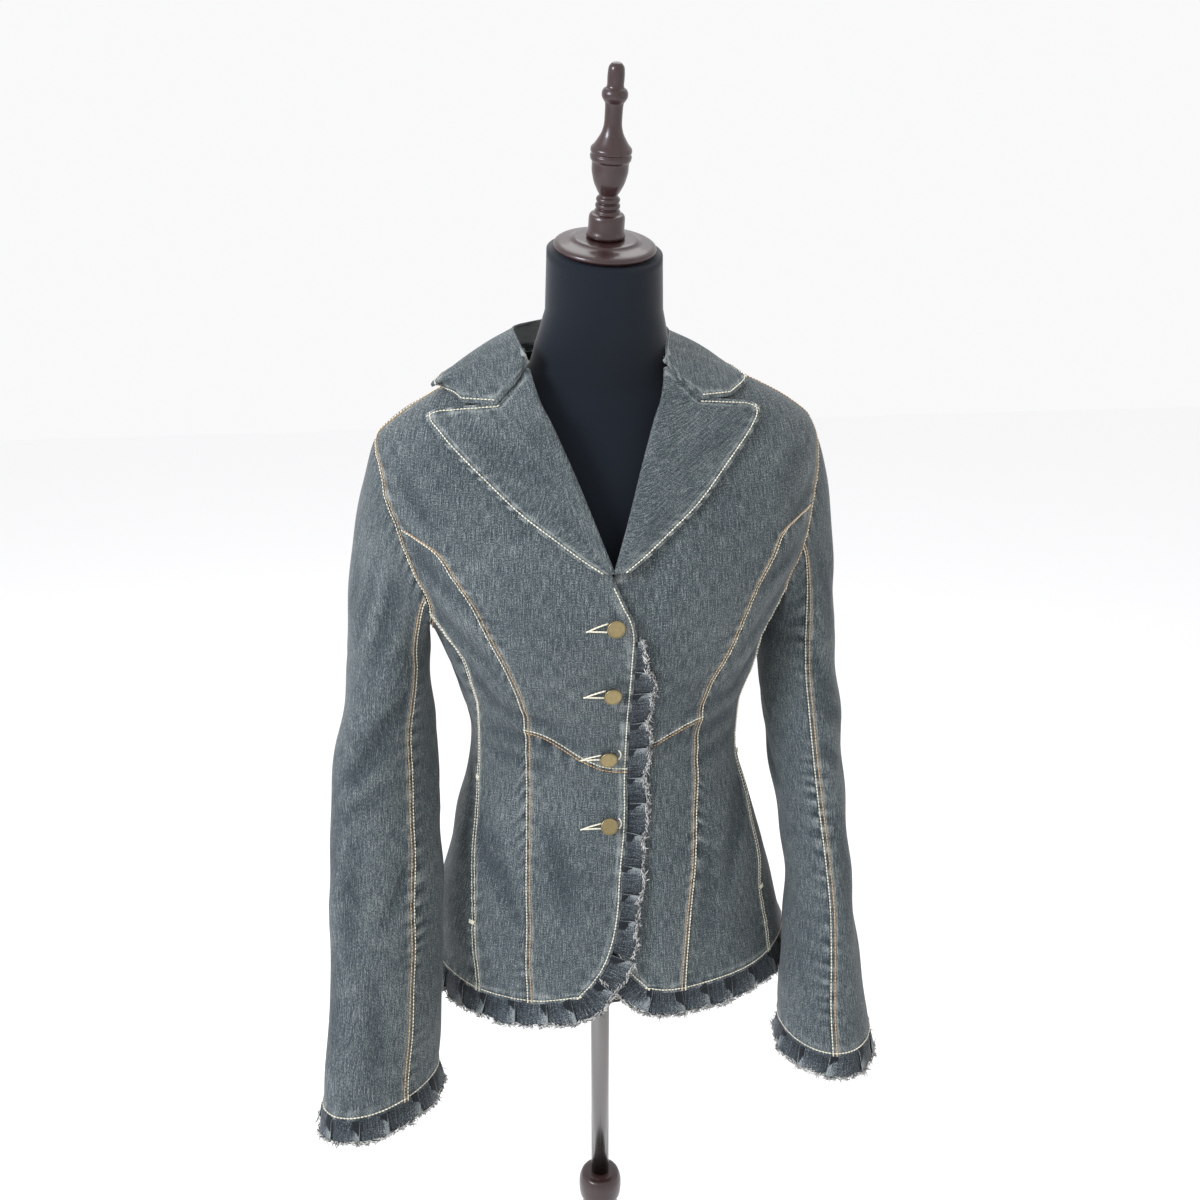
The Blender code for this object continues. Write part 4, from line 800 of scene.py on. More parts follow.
def seam_marks(grid, side_name, seed, reach=0.0060, rise=0.00038, lap=0.0):
    """Puckers beside one edge of a grid, and the step of the lapped seam under its stitching."""
    if side_name in ("top", "bottom"):
        moved, marks = seam_marks(grid.transpose(1, 0, 2), {"top": "left", "bottom": "right"}[side_name],
                                  seed, reach, rise, lap)
        return moved.T, marks.T
    work = grid if side_name == "left" else grid[:, ::-1]
    gaps = np.linalg.norm(np.diff(work, axis=1), axis=2)
    away = np.concatenate([np.zeros((len(work), 1)), np.cumsum(gaps, axis=1)], axis=1)
    run = run_length(work[:, 0])
    phase = run / 0.0150 + 0.45 * np.sin(run / 0.037 + seed) + 0.30 * np.sin(run / 0.0171 + 2.3 * seed)
    wave = np.sin(2 * math.pi * phase) + 0.5 * np.sin(run / 0.0013 + 1.9 * seed + 2.0 * np.sin(run / 0.011))
    wave *= 0.5 + 0.35 * np.sin(run / 0.026 + 3.7 * seed) + 0.25 * np.sin(run / 0.061 + 2.9 * seed)
    fade = np.exp(-(away / reach) ** 1.3)
    moved = rise * wave[:, None] * fade
    # Pucker marks follow the relief, paler on the crests and darker in the hollows: wash wear, and painted
    # light and shade as well.
    marks = 0.34 * wave[:, None] * np.exp(-(away / (reach * 1.35)) ** 1.3)
    if lap:
        moved = moved + lap * smooth(0.0072, 0.0058, away)
        # A pale band of wear on the lapped seam's raised step, and painted shade in a dark band along the
        # seam's ditch.
        marks = marks + 0.30 * np.exp(-((away - 0.0068) / 0.0012) ** 2) - 0.25 * np.exp(-(away / 0.0010) ** 2)
    if side_name == "right":
        moved, marks = moved[:, ::-1], marks[:, ::-1]
    return moved, marks


def rubbed_rim(grid, edges, amount=0.32, reach=0.0016):
    """Free edges are rubbed pale in a narrow band."""
    marks = np.zeros(grid.shape[:2])
    for edge in edges:
        work = grid.transpose(1, 0, 2) if edge in ("top", "bottom") else grid
        away = np.array([run_length(row if edge in ("left", "top") else row[::-1]) for row in work])
        away = away if edge in ("left", "top") else away[:, ::-1]
        band = amount * np.exp(-(away / reach) ** 2)
        band = band - 0.45 * amount * np.exp(-((away - 0.0046) / 0.0012) ** 2)
        marks = np.maximum(marks, 0.0) + (band.T if edge in ("top", "bottom") else band)
    return marks


def textured(grid, normals, lines, edges, seed, free=()):
    """Push a grid along its normals by every relief on it; returns the grid and its wear, with painted shade
    in the crease troughs and painted light on their shoulders.
    """
    depth = creased(grid, lines)
    lift = depth + uneven(grid)
    # Crease troughs are painted darker and their raised shoulders paler: wash wear, and painted shade and
    # light as well.
    wear_and_shading = 0.5 + np.clip(depth * 110.0, -0.13, 0.20) + rubbed_rim(grid, free)
    for number, (edge, lap) in enumerate(edges.items()):
        moved, marks = seam_marks(grid, edge, seed + 1.7 * number, lap=lap)
        lift = lift + moved
        wear_and_shading = wear_and_shading + marks
    return grid + normals * lift[..., None], np.clip(wear_and_shading, 0.0, 1.0)


def drawn_in(grid, gap):
    """Pull the four edges in by half a seam's gap."""
    grid = grid.copy()
    for a, b in ((grid[0], grid[1]), (grid[-1], grid[-2]), (grid[:, 0], grid[:, 1]),
                 (grid[:, -1], grid[:, -2])):
        a += unit(b - a) * gap / 2
    return grid


print(len(CREASES), "creases on the body,", sum(map(len, SLEEVE_CREASES.values())), "on the sleeves")

# %% [markdown]
# ## The form, and what is turned on a lathe
#
# The form is one padded body that ends below in a flat disc and above in a neck tipped forward. Its
# jersey is stretched tight, so it is a smooth closed skin. Cap, finial, pole, post and base are all
# round: a profile is spun about its own axis, which is just how a wood turner or a tube mill makes it.

# %% The dress form
def ring_faces(rows, wide):
    """Faces of a closed tube of rings, its two ends capped."""
    a = np.arange(wide)
    b = (a + 1) % wide
    faces = [np.stack([a, b, b + wide, a + wide], axis=1) + r * wide for r in range(rows - 1)]
    ends = [list(range(wide))[::-1], [k + (rows - 1) * wide for k in range(wide)]]
    return np.vstack(faces).tolist() + ends


def form_cover():
    turns = even(0.0, 360.0, 97)[:-1]
    heights = np.concatenate([even(a[0], b[0], 6)[:-1] for a, b in zip(FORM, FORM[1:])] + [[FORM[-1][0]]])
    rings = []
    for z in heights:
        ring = outline(FORM, turns, np.full(96, z))
        ring[:, 1] += column(FORM, z, 6)
        rings.append(lean(ring))
    tip = np.array(Matrix.Rotation(NECK_TILT, 3, "X"))
    angle = np.radians(turns)
    flat = np.stack([np.sin(angle), -np.cos(angle), 0 * angle], axis=-1) * NECK_RADIUS
    top = flat @ tip.T + np.array(NECK_TOP)
    last = rings[-1]
    for share in even(0.0, 1.0, 8)[1:]:
        rings.append(last + (top - last) * share)
    points = np.vstack(rings)
    return mesh_object("form_cover", points, ring_faces(len(rings), 96), form_jersey)


cover = form_cover()
wear_out(cover, "form_cloth", "form_torso")
print("form cover", len(cover.data.polygons), "faces")

# %% Turned wood and the pole
def eased(profile, times=2):
    """Soften a turned profile's corners the way sandpaper does."""
    line = np.array(profile, dtype=float)
    for _ in range(times):
        near, far = line[:-1] * 0.82 + line[1:] * 0.18, line[:-1] * 0.18 + line[1:] * 0.82
        line = np.vstack([line[:1], np.stack([near, far], axis=1).reshape(-1, 2), line[-1:]])
    return line


def turned(name, profile, finish, place=None, steps=72, wear_and_shading=None):
    line = np.asarray(profile, dtype=float)[1:-1]
    angle = even(0.0, 2 * math.pi, steps + 1)[:-1]
    rings = [np.stack([r * np.cos(angle), r * np.sin(angle), np.full(steps, z)], axis=-1) for r, z in line]
    faces = ring_faces(len(rings), steps)
    marks = None if wear_and_shading is None else {"wear_and_shading": np.repeat(wear_and_shading(line[:, 0]), steps)}
    made = mesh_object(name, np.vstack(rings), [face[::-1] for face in faces], finish, marks)
    for polygon in made.data.polygons:
        if len(polygon.vertices) > 4:
            polygon.use_smooth = False
    if place is not None:
        made.data.transform(place)
    return made


tip = Matrix.Translation(NECK_TOP) @ Matrix.Rotation(NECK_TILT, 4, "X")
above = tip @ Matrix.Translation((0.0, 0.0, NECK_CAP[0][1]))
ROUND_PIECES = [
    ("turned_cap", eased(NECK_CAP), lacquered_wood, tip, "turned_wood", "neck_cap"),
    ("turned_finial", eased(FINIAL), lacquered_wood, above, "turned_wood", "finial"),
    ("chrome_pole", [(0.0, 0.6316), (0.0093, 0.6316), (0.0098, 0.6311), (0.0098, 0.3509), (0.0093, 0.3504),
                     (0.0, 0.3504)], chrome_tube, None, "chrome_tube", "pole"),
    ("turned_post", eased(POST), lacquered_wood, None, "turned_wood", "stand_post"),
    ("turned_base", eased(BASE), lacquered_wood, None, "turned_wood", "stand_base"),
]
for name, profile, finish, place, slot, solid in ROUND_PIECES:
    wear_out(turned(name, profile, finish, place), slot, solid)
print("turned pieces:", [row[0] for row in ROUND_PIECES])

# %% [markdown]
# ## The body panels
#
# Each panel is a patch stretched between four seam lines (a Coons patch): the edges are exact, and the
# inside blends between them. The left front dips where it passes under the right one. Panels keep
# their grids, because the stitching is laid out from them.

# %% Patches
def coons(left, right, top, bottom):
    t, s = even(0, 1, len(left))[:, None, None], even(0, 1, len(top))[None, :, None]
    ruled = (1 - s) * left[:, None] + s * right[:, None] + (1 - t) * top[None] + t * bottom[None]
    corners = ((1 - s) * (1 - t) * left[0] + s * (1 - t) * right[0]
               + (1 - s) * t * left[-1] + s * t * right[-1])
    return ruled - corners


def on_jacket(side, pairs, out=0.0):
    """Points and normals on the jacket's outside, the left front's dip included."""
    turn, z = side * pairs[..., 0], pairs[..., 1]
    points = outline(BODY, turn, z)
    if side > 0:
        dip = UNDERLAP_DROP * smooth(UNDERLAP_FREE_X, CLOSURE_X + OVERLAP + 0.010, points[..., 0])
        out = out - np.where(z > BREAK_Z + 0.02, 0.0, dip)
    normals = body_normal(turn, z)
    return lean(outline(BODY, turn, z, out)), normals


def panel_pairs(side):
    line = SEAMS[side]
    outer = np.vstack([line["shoulder"], line["arm_front_high"][1:], line["princess_high"][1:]])
    inner = resample(np.vstack([line["roll"], line["edge_high"][1:]]), len(outer))
    neck = np.linspace(inner[0], outer[0], len(line["waist"]))
    made = {"front_upper": coons(inner, outer, neck, line["waist"]),
            "front_lower": coons(line["edge_low"], line["princess_low"], line["waist"],
                                 line["hem_front"])}
    princess = np.vstack([line["princess_high"], line["princess_low"][1:]])
    sides = resample(line["side"], len(princess))
    made["front_side"] = coons(princess, sides, line["arm_front_low"],
                               hem_run(princess[-1, 0], sides[-1, 0], len(line["arm_front_low"])))
    back = resample(line["back_princess"], len(sides))
    made["back_side"] = coons(sides, back, line["arm_floor"],
                              hem_run(sides[-1, 0], back[-1, 0], len(line["arm_floor"])))
    outer = np.vstack([line["shoulder"], line["arm_back_high"][1:], back[1:]])
    centre = resample(line["centre_back"], len(outer))
    made["back_centre"] = coons(outer, centre, np.linspace(outer[0], centre[0], 6 * FINE + 1),
                                hem_run(back[-1, 0], 180.0, 6 * FINE + 1))
    return made


PUCKERED = {     # edge: how far the seam allowance lifts the cloth beside it
    "front_upper": {"right": 0.0005, "bottom": 0.0005, "left": 0.0004},
    "front_lower": {"right": 0.0005, "top": 0.0, "left": 0.0004, "bottom": 0.0004},
    "front_side": {"left": 0.0, "right": 0.0005, "top": 0.0004, "bottom": 0.0004},
    "back_side": {"left": 0.0, "right": 0.0, "top": 0.0004, "bottom": 0.0004},
    "back_centre": {"left": 0.0005, "right": 0.0005, "bottom": 0.0004},
}
FREE_EDGES = {"front_upper": ("left",), "front_lower": ("left", "bottom")}
PANELS = {}
body_creases = crease_lines(CREASES, lambda turn, z: lean(outline(BODY, turn, z)))
for side, label in ((-1, "right"), (1, "left")):
    for number, (name, pairs) in enumerate(panel_pairs(side).items()):
        points, normals = on_jacket(side, pairs)
        grid, wear_and_shading = textured(points, normals, body_creases, PUCKERED[name], side * 3.1 + number,
                              FREE_EDGES.get(name, ("bottom",)))
        if name == "front_side":
            height = pairs[..., 1]
            mouth = smooth(SLIT_FOOT_Z, SLIT_FOOT_Z + 0.03, height)
            mouth = mouth * smooth(SLIT_TOP_Z, SLIT_TOP_Z - 0.03, height)
            near = np.linspace(0.0, 1.0, pairs.shape[1])[None] ** 6
            grid = grid + normals * (MOUTH_GAPE * mouth * near)[..., None]
        grid = drawn_in(grid, SEAM_GAP)
        PANELS[name, side] = (grid, normals, wear_and_shading, pairs)
        piece = shell(f"{name}_{label}_cloth", grid, normals, DENIM, washed_denim, wear_and_shading, plumb=True)
        wear_out(piece, "washed_denim", f"{name}_{label}")

# %% [markdown]
# ## The sleeves
#
# A two-piece sleeve is a top and an under piece that meet at a front and a back seam. From the armhole
# each line of cloth leaves the shoulder outwards, falls under its own weight and joins the sections
# further down. At the elbow the arm bends forward, so the cloth folds on the inside of the bend.

# %% Sleeve surfaces
def armhole(side):
    line = SEAMS[side]
    pairs = np.vstack([line["arm_front_high"], line["arm_front_low"][1:], line["arm_floor"][1:],
                       line["arm_back_high"][-2::-1]])
    points = lean(outline(BODY, side * pairs[:, 0], pairs[:, 1]))
    return points, run_length(points)


ARMHOLES = {side: armhole(side) for side in (-1, 1)}


def sleeve_ring(side, turn, z, out=0.0):
    table = SLEEVES[side]
    heading = np.radians(column(table, z, 5))
    angle = np.radians(turn) + heading
    back = -(column(table, z, 3) + out) * np.sin(angle)
    aside = (column(table, z, 4) + out) * np.cos(angle)
    x = column(table, z, 1) + side * (aside * np.cos(heading) - back * np.sin(heading))
    y = column(table, z, 2) + back * np.cos(heading) + aside * np.sin(heading)
    return lean(np.stack([x, y, z + 0 * x], axis=-1))


def sleeve_grid(side, turns, head_rows=30, rows=150):
    points, lengths = ARMHOLES[side]
    goal = (turns % 360.0) / 360.0 * lengths[-1]
    start = follow(goal, lengths, points)
    angle = np.radians(turns)
    fall = np.radians((HEAD_RISE + HEAD_FLOOR) / 2 + (HEAD_RISE - HEAD_FLOOR) / 2 * np.cos(angle))
    away = np.stack([side * np.cos(fall), 0 * fall, -np.sin(fall)], axis=-1)
    start = start + away * HEAD_CLEAR
    table = SLEEVES[side]
    end = sleeve_ring(side, turns, np.full(len(turns), table[0][0]))
    reach = np.linalg.norm(end - start, axis=-1, keepdims=True)
    t = even(0.0, 1.0, head_rows + 1)[:-1, None, None]
    down = np.array([0.0, 0.0, -1.0])
    head = hermite(t, start, end, away * reach * HEAD_PULL, down * reach)
    z = even(table[0][0], table[-1][0], rows)[:, None]
    return np.concatenate([head, sleeve_ring(side, turns[None], z + 0 * turns[None])], axis=0)


def sleeve_normals(side, turns):
    here = sleeve_grid(side, turns)
    across = sleeve_grid(side, turns + 2.0) - sleeve_grid(side, turns - 2.0)
    return here, unit(np.cross(across, np.gradient(here, axis=0))) * side


SLEEVE_GRIDS = {}
for side, label in ((-1, "right"), (1, "left")):
    lines = crease_lines(SLEEVE_CREASES[side], lambda turn, z, side=side: sleeve_ring(side, turn, z))
    front = FRONT_SEAM_TURN[side]
    for name, first, last, count in (("sleeve_top", BACK_SEAM_TURN - 360.0, front, 96),
                                     ("sleeve_under", front, BACK_SEAM_TURN, 52)):
        turns = even(first, last, count)
        points, normals = sleeve_normals(side, turns)
        lap = 0.0005 if name == "sleeve_top" else 0.0
        edges = {"left": lap, "right": lap, "top": 0.0, "bottom": 0.0004}
        grid, wear_and_shading = textured(points, normals, lines, edges, side * 5.3 + count)
        grid = drawn_in(grid, SEAM_GAP)
        SLEEVE_GRIDS[name, side] = (grid, normals, wear_and_shading)
        piece = shell(f"{name}_{label}_cloth", grid, normals, DENIM, washed_denim, wear_and_shading)
        wear_out(piece, "washed_denim", f"{name}_{label}")

# %% [markdown]
# ## Lapels and collar
#
# The lapel is the front itself, folded back along the roll line, so it starts with a soft fold that
# comes up from the front's edge. The collar stands up from the neck seam, rolls over and lies down on
# the shoulders. Both are two layers thick, and pressed edges of two layers are slightly rounded.

# %% Lapels
def on_front(side, x, z, out):
    turn = turn_at(CLOSURE_X + side * x, z)
    return lean(outline(BODY, turn, z) + body_normal(turn, z) * np.asarray(out)[..., None])


def rounded(grid, corners, radius):
    """Round a sheet's corners: points near one move in along both edges, as a square fits a disc."""
    grid = grid.copy()
    for first, second in corners:
        view = grid[::-1] if first == "bottom" else grid
        view = view[:, ::-1] if second == "right" else view
        u = np.array([run_length(row) for row in view])
        v = np.array([run_length(line) for line in view.transpose(1, 0, 2)]).T
        a, b = np.clip(1 - u / radius, 0, 1), np.clip(1 - v / radius, 0, 1)
        move_u, move_v = a * (1 - np.sqrt(1 - b * b / 2)), b * (1 - np.sqrt(1 - a * a / 2))
        way_u, way_v = unit(np.gradient(view, axis=1)), unit(np.gradient(view, axis=0))
        view += radius * (way_u * move_u[..., None] + way_v * move_v[..., None])
    return grid


def lapel_grid(side, rows=65, columns=49, folds=7):
    t, s = even(0.0, 1.0, rows)[:, None], even(0.0, 1.0, columns)[None]
    inner_z = LAPEL_TOP_Z + (LAPEL_FOOT_Z - LAPEL_TOP_Z) * t
    outer_z = LAPEL_EDGE[0][0] + (LAPEL_FOOT_Z - LAPEL_EDGE[0][0]) * t
    inner, outer = column(ROLL, inner_z, 1), column(LAPEL_EDGE, outer_z, 1)
    x = inner + (outer - inner) * s
    z = inner_z + (outer_z - inner_z) * s
    share = (NOTCH[0] - inner[0]) / (outer[0] - inner[0])
    top = NOTCH[1] + (LAPEL_TOP_Z - NOTCH[1]) * np.maximum(0.0, 1.0 - s[0] / share)
    top = top + (outer_z[0] - NOTCH[1]) * np.maximum(0.0, (s[0] - share) / (1.0 - share))
    z = z + (top - z[0]) * smooth(1.0 / 8.0, 0.0, t) - LAPEL_SAG * np.sin(math.pi * s) * (
        smooth(0.0, 0.125, t) * smooth(0.30, 0.125, t))
    points = on_front(side, x, z, np.full(x.shape, LAPEL_LIFT))
    fold = []
    for phi in even(-90.0, 90.0, folds + 1)[:-1]:
        radius = LAPEL_LIFT / 2
        bulge = radius * math.cos(math.radians(phi)) * 1.3
        fold.append(on_front(side, inner[:, 0] - bulge, inner_z[:, 0],
                             np.full(rows, radius + radius * math.sin(math.radians(phi)))))
    return np.concatenate([np.stack(fold, axis=1), rounded(points, (("top", "right"),), LAPEL_ROUND)], axis=1)


LAPEL_CREASES = [
    (0.100, 1.190, 0.050, 1.150, 0.0, 0.012, -0.0008),
    (0.120, 1.200, 0.085, 1.165, 0.0, 0.010, -0.0007),
    (0.070, 1.200, 0.040, 1.160, 0.0, 0.012, -0.0006),
    (0.055, 1.140, 0.020, 1.100, 0.0, 0.010, -0.0006),
]
LAPELS = {}
for side, label in ((-1, "right"), (1, "left")):
    grid = lapel_grid(side)
    normals = grid_normals(grid) * side
    lines = crease_lines(LAPEL_CREASES, lambda x, z, side=side: on_front(side, x, z, x * 0 + LAPEL_LIFT))
    edges = {"right": 0.0004, "top": 0.0003}
    moved, wear_and_shading = textured(grid, normals, lines, edges, side * 2.2, ("right", "top"))
    grid[:, 8:] = moved[:, 8:]
    flip = normals if normals[40, 30, 1] < 0 else -normals
    LAPELS[side] = (grid, flip)
    piece = shell(f"lapel_{label}_cloth", grid, flip, LAPEL_WALL, washed_denim, wear_and_shading,
                  slant=LAPEL_SLANT * side)
    wear_out(piece, "washed_denim", f"lapel_{label}")


# %% Collar
def clear_of_body(points, gap):
    points = points.copy()
    for _ in range(120):
        half, front, back, square, shift = (column(BODY, points[..., 2], k) for k in range(1, 6))
        depth = np.where(points[..., 1] < 0, front, back)
        inside = ((np.abs(points[..., 0] - shift) / (half + gap)) ** square
                  + (np.abs(points[..., 1]) / (depth + gap)) ** square) < 1.0
        inside &= points[..., 2] < BODY[0][0]
        if not inside.any():
            break
        points[..., 2] += 0.0004 * inside
    return points


def collar_half(side):
    """Coarse rows from the centre back to the gorge, each from stand over roll to edge."""
    keyed = [(float(k), *row) for k, row in enumerate(COLLAR)]
    rows = []
    for at in even(0.0, len(COLLAR) - 1.0, 15):
        shift = CLOSURE_X * float(smooth(0.0, len(COLLAR) - 1.0, at))
        stand, roll, edge = (np.array([float(column(keyed, at, k + axis)) for axis in range(3)])
                             for k in (1, 4, 7))
        outward = unit(edge - roll)
        level = np.array([outward[0], outward[1], 0.0])
        over = roll + level * COLLAR_ROLL - np.array([0.0, 0.0, COLLAR_ROLL / 3])
        bulge = (level + np.array([0.0, 0.0, 0.8])) * COLLAR_BULGE
        row = [stand, stand + (roll - stand) * 0.6, roll, over]
        row += [over + (edge - over) * 0.33 + bulge, over + (edge - over) * 0.67 + bulge, edge]
        row = np.array(row) * np.array([side, 1.0, 1.0]) + np.array([shift, 0.0, 0.0])
        rows.append(lean(clear_of_body(row, COLLAR_CLEAR)))
    rows.append(np.array([on_front(side, np.array(x), np.array(z + drop), GORGE_LIFT)
                          for (x, z), drop in zip(GORGE, GORGE_DROP)]))
    rows.insert(-1, (rows[-1] + rows[-2]) / 2 + GORGE_SWELL)
    return rows


rows = np.array(collar_half(1)[::-1] + collar_half(-1)[1:])
collar_grid = finer(rows.transpose(1, 0, 2), 7).transpose(1, 0, 2)
for end in (0, -1):
    collar_grid[end] = follow(even(0.0, 6.0, collar_grid.shape[1]), np.arange(7.0), rows[end])
collar_grid = rounded(finer(collar_grid, 6), (("top", "right"), ("bottom", "right")), COLLAR_ROUND)
collar_normals = grid_normals(collar_grid)
if (collar_normals[len(collar_grid) // 2, -8] * np.array([0.0, 1.0, 0.3])).sum() < 0:
    collar_normals = -collar_normals
COLLAR_EDGES = {"right": 0.0004, "top": 0.0003, "bottom": 0.0003}
collar_grid, wear_and_shading = textured(collar_grid, collar_normals, [], COLLAR_EDGES, 9.1, tuple(COLLAR_EDGES))
stand_painted_light = smooth(2.4, 1.4, even(0.0, 6.0, collar_grid.shape[1]))     # painted light on the stand beside the neck, which sits in shade; denim's paler reverse side shows there too
wear_and_shading = np.clip(wear_and_shading + 0.45 * stand_painted_light, 0.0, 1.0)
piece = shell("collar_cloth", collar_grid, collar_normals, COLLAR_WALL, washed_denim, wear_and_shading)
wear_out(piece, "washed_denim", "collar")

# %% [markdown]
# ## The raw ruffles
#
# A strip of denim is cut on both sides and never hemmed. It is laid in knife pleats about 29 mm apart,
# sewn under the jacket's edge and washed, and the free edge frays: dark warp and pale weft come loose
# in a thick fringe. Each pleat here runs forward, folds back under itself and runs forward again.

# %% Pleated strips
rng = np.random.default_rng(29)
FRINGES = []      # lines of loose edge, with the ways their yarns point
TUCK, PLEAT_HEIGHT, PLEAT_LEAN = (0.0055, 0.0085), (0.8, 1.25), 0.0035


def pleated(name, starts, falls, outs, width, closed=False, taper=0.0, wave=0.0010):
    run = run_length(np.vstack([starts, starts[:1]]) if closed else starts)
    total = run[-1]
    if closed:
        starts, falls, outs = (np.vstack([value, value[:1]]) for value in (starts, falls, outs))

    def read(values, at):
        return follow(at, run, values)

    count = max(3, round(total / PLEAT_PITCH))
    marks = np.linspace(0.0, total, count + 1)
    marks[1:-1] += rng.uniform(-0.13, 0.13, count - 1) * PLEAT_PITCH
    at, lift, fan, shade = [], [], [], []
    for first, last in zip(marks, marks[1:]):
        tuck, high = rng.uniform(*TUCK), rng.uniform(*PLEAT_HEIGHT)
        lean_out = rng.uniform(-PLEAT_LEAN, PLEAT_LEAN)
        run_on = np.concatenate([even(first, last - 0.0006, 9), [last + 0.0002, last - 0.0004],
                                 even(last - 0.002, last - tuck, 3), [last - tuck - 0.0005, last - tuck],
                                 even(last - tuck + 0.002, last - 0.001, 3)])
        rise = np.concatenate([np.linspace(0.0006, 0.0030, 9) + 0.0004 * np.sin(np.linspace(0, 3.1, 9)),
                               [0.0026, 0.0021], np.linspace(0.0019, 0.0014, 3), [0.0010, 0.0006],
                               np.full(3, 0.0004)]) * high
        at.append(run_on)
        lift.append(rise)
        fan.append(np.full(19, lean_out) * np.concatenate([even(0.2, 1.0, 9), np.full(10, 1.0)]))
        # Painted shade and light along each pleat: the tuck folded under it is painted dark, and its folded
        # edge pale, partly from wear on the fold.
        shade.append(np.concatenate([even(0.42, 0.56, 7), [0.72, 0.92, 0.85, 0.40], np.full(8, 0.08)]))
    at, lift, fan, shade = (np.concatenate(value) for value in (at, lift, fan, shade))
    rows, wear_and_shading, strip = [], [], []
    along = run_length(read(starts, at) + unit(read(outs, at)) * lift[:, None])
    for drop in (0.0, 0.12, 0.25, 0.42, 0.60, 0.80, 1.0):
        place = np.clip(at + fan * drop ** 1.4, 0.0, total)
        tuck_under = 0.0019 * (1.0 - smooth(0.0, 0.22, drop))
        rise = lift * (0.30 + 0.70 * drop) - tuck_under
        wobble = 0.0007 * drop * np.sin(place * 310.0 + 2.0 * drop)
        wide = width * (0.30 + 0.70 * smooth(total, total - taper, place)) if taper else width
        swing = np.sin(place * 97.0 + 1.0) + 0.7 * np.sin(place * 217.0) + 0.5 * np.sin(place * 431.0 + 2.0)
        reach = -0.0016 + (wide + 0.0016 + 0.0013) * drop + wave * drop * swing
        rows.append(read(starts, place) + unit(read(falls, place)) * reach[:, None]
                    + unit(read(outs, place)) * (rise + wobble)[:, None])
        strip.append(np.stack([along, reach], axis=-1))
        # Painted shade: darker towards the sewn edge, which lies under the jacket's edge, with a pale band
        # added right at the seam.
        wear_and_shading.append(shade * (0.55 + 0.45 * drop) + 0.18 * float(np.exp(-(drop / 0.16) ** 2)))
    grid, wear_and_shading = np.array(rows), np.array(wear_and_shading)
    outward = unit(read(outs, at))
    normals = grid_normals(grid)
    if (normals[3, 2:8] * outward[2:8]).sum() < 0:
        normals = -normals
    piece = shell(f"{name}_cloth", grid, normals, RAW_WALL, raw_denim, np.clip(wear_and_shading, 0, 1),
                  cut=np.array(strip))
    wear_out(piece, "frayed_denim", name)
    FRINGES.append((grid[-1], unit(grid[-1] - grid[-2]), outward))


def edge_frame(side, pairs, sink=0.0):
    """Start line, direction of fall and outward direction along an edge of the body."""
    signed = pairs * np.array([side, 1.0])
    starts = lean(outline(BODY, signed[:, 0], signed[:, 1], -np.asarray(sink)))
    outs = body_normal(signed[:, 0], signed[:, 1])
    falls = unit(np.cross(np.gradient(starts, axis=0), outs))
    return starts, falls, outs


def hem_path():
    halves = {}
    for side in (-1, 1):
        line = SEAMS[side]
        corner = line["edge_low"][:-1]
        corner = corner[corner[:, 1] < CORNER_TOP_Z]
        start = np.vstack([corner, line["hem_front"]])
        halves[side] = np.vstack([start, hem_run(start[-1, 0], 180.0, 150)[1:]])
    right = halves[-1][-2::-1] * np.array([-1.0, 1.0])
    right[:, 0] = np.where(right[:, 0] > 0, right[:, 0], right[:, 0] + 360.0)
    return np.vstack([halves[1], right])


hem = hem_path()
x = outline(BODY, hem[:, 0], hem[:, 1])[:, 0]
dip = np.where(hem[:, 0] < 180.0, UNDERLAP_DROP * smooth(UNDERLAP_FREE_X, CLOSURE_X + OVERLAP, x), 0.0)
starts, falls, outs = edge_frame(1, hem, dip)
if falls[len(falls) // 2, 2] > 0:
    falls = -falls
pleated("ruffle_hem", starts, falls, outs, RUFFLE_WIDTH)

z = even(FRONT_RUFFLE_FOOT_Z, FRONT_RUFFLE_TOP_Z, 240)
front_edge = pairs_of(edge_turn(-1, z), z)
starts, falls, outs = edge_frame(-1, front_edge)
if falls[120, 0] < 0:
    falls = -falls
pleated("ruffle_front", starts, falls, outs, FRONT_RUFFLE_WIDTH, taper=0.055, wave=0.0016)

for side, label in ((-1, "right"), (1, "left")):
    turns = even(0.0, 360.0, 241)[:-1]
    foot = SLEEVES[side][-1][0]
    ring = sleeve_ring(side, turns, np.full(240, foot))
    outs = unit(sleeve_ring(side, turns, np.full(240, foot), 0.01) - ring)
    falls = unit(np.array([0.0, 0.0, -1.0]) + 0.12 * outs)
    pleated(f"ruffle_cuff_{label}", ring, falls, outs, CUFF_RUFFLE_WIDTH, closed=True)


# %% Frayed yarns
def repeated(pattern, count, step):
    """The faces of one small mesh, written again for each of its copies."""
    copies = np.array(pattern)[None] + step * np.arange(count)[:, None, None]
    return copies.reshape(-1, len(pattern[0])).tolist()


def fibres(roots, ways, lengths, radii, bends):
    """Many bent yarns at once: each is a three-sided tube of three rings that ends in a point."""
    side_way = unit(np.cross(ways, rng.normal(size=ways.shape)))
    other = np.cross(ways, side_way)
    rings = []
    for t, thick in ((0.0, 1.0), (0.38, 0.95), (0.75, 0.75)):
        centre = roots + ways * (lengths * t)[:, None] + bends * (lengths * t * t)[:, None]
        for angle in (0.0, 2.094, 4.189):
            rings.append(centre + (side_way * math.cos(angle) + other * math.sin(angle))
                         * (radii * thick)[:, None])
    rings.append(roots + ways * lengths[:, None] + bends * lengths[:, None])
    points = np.stack(rings, axis=1)
    sides = [[r + a, r + b, r + 3 + b, r + 3 + a] for r in (0, 3) for a, b in ((0, 1), (1, 2), (2, 0))]
    tips = [[6, 7, 9], [7, 8, 9], [8, 6, 9]]
    faces = repeated(sides, len(roots), 10) + repeated(tips, len(roots), 10)
    return points.reshape(-1, 3), faces


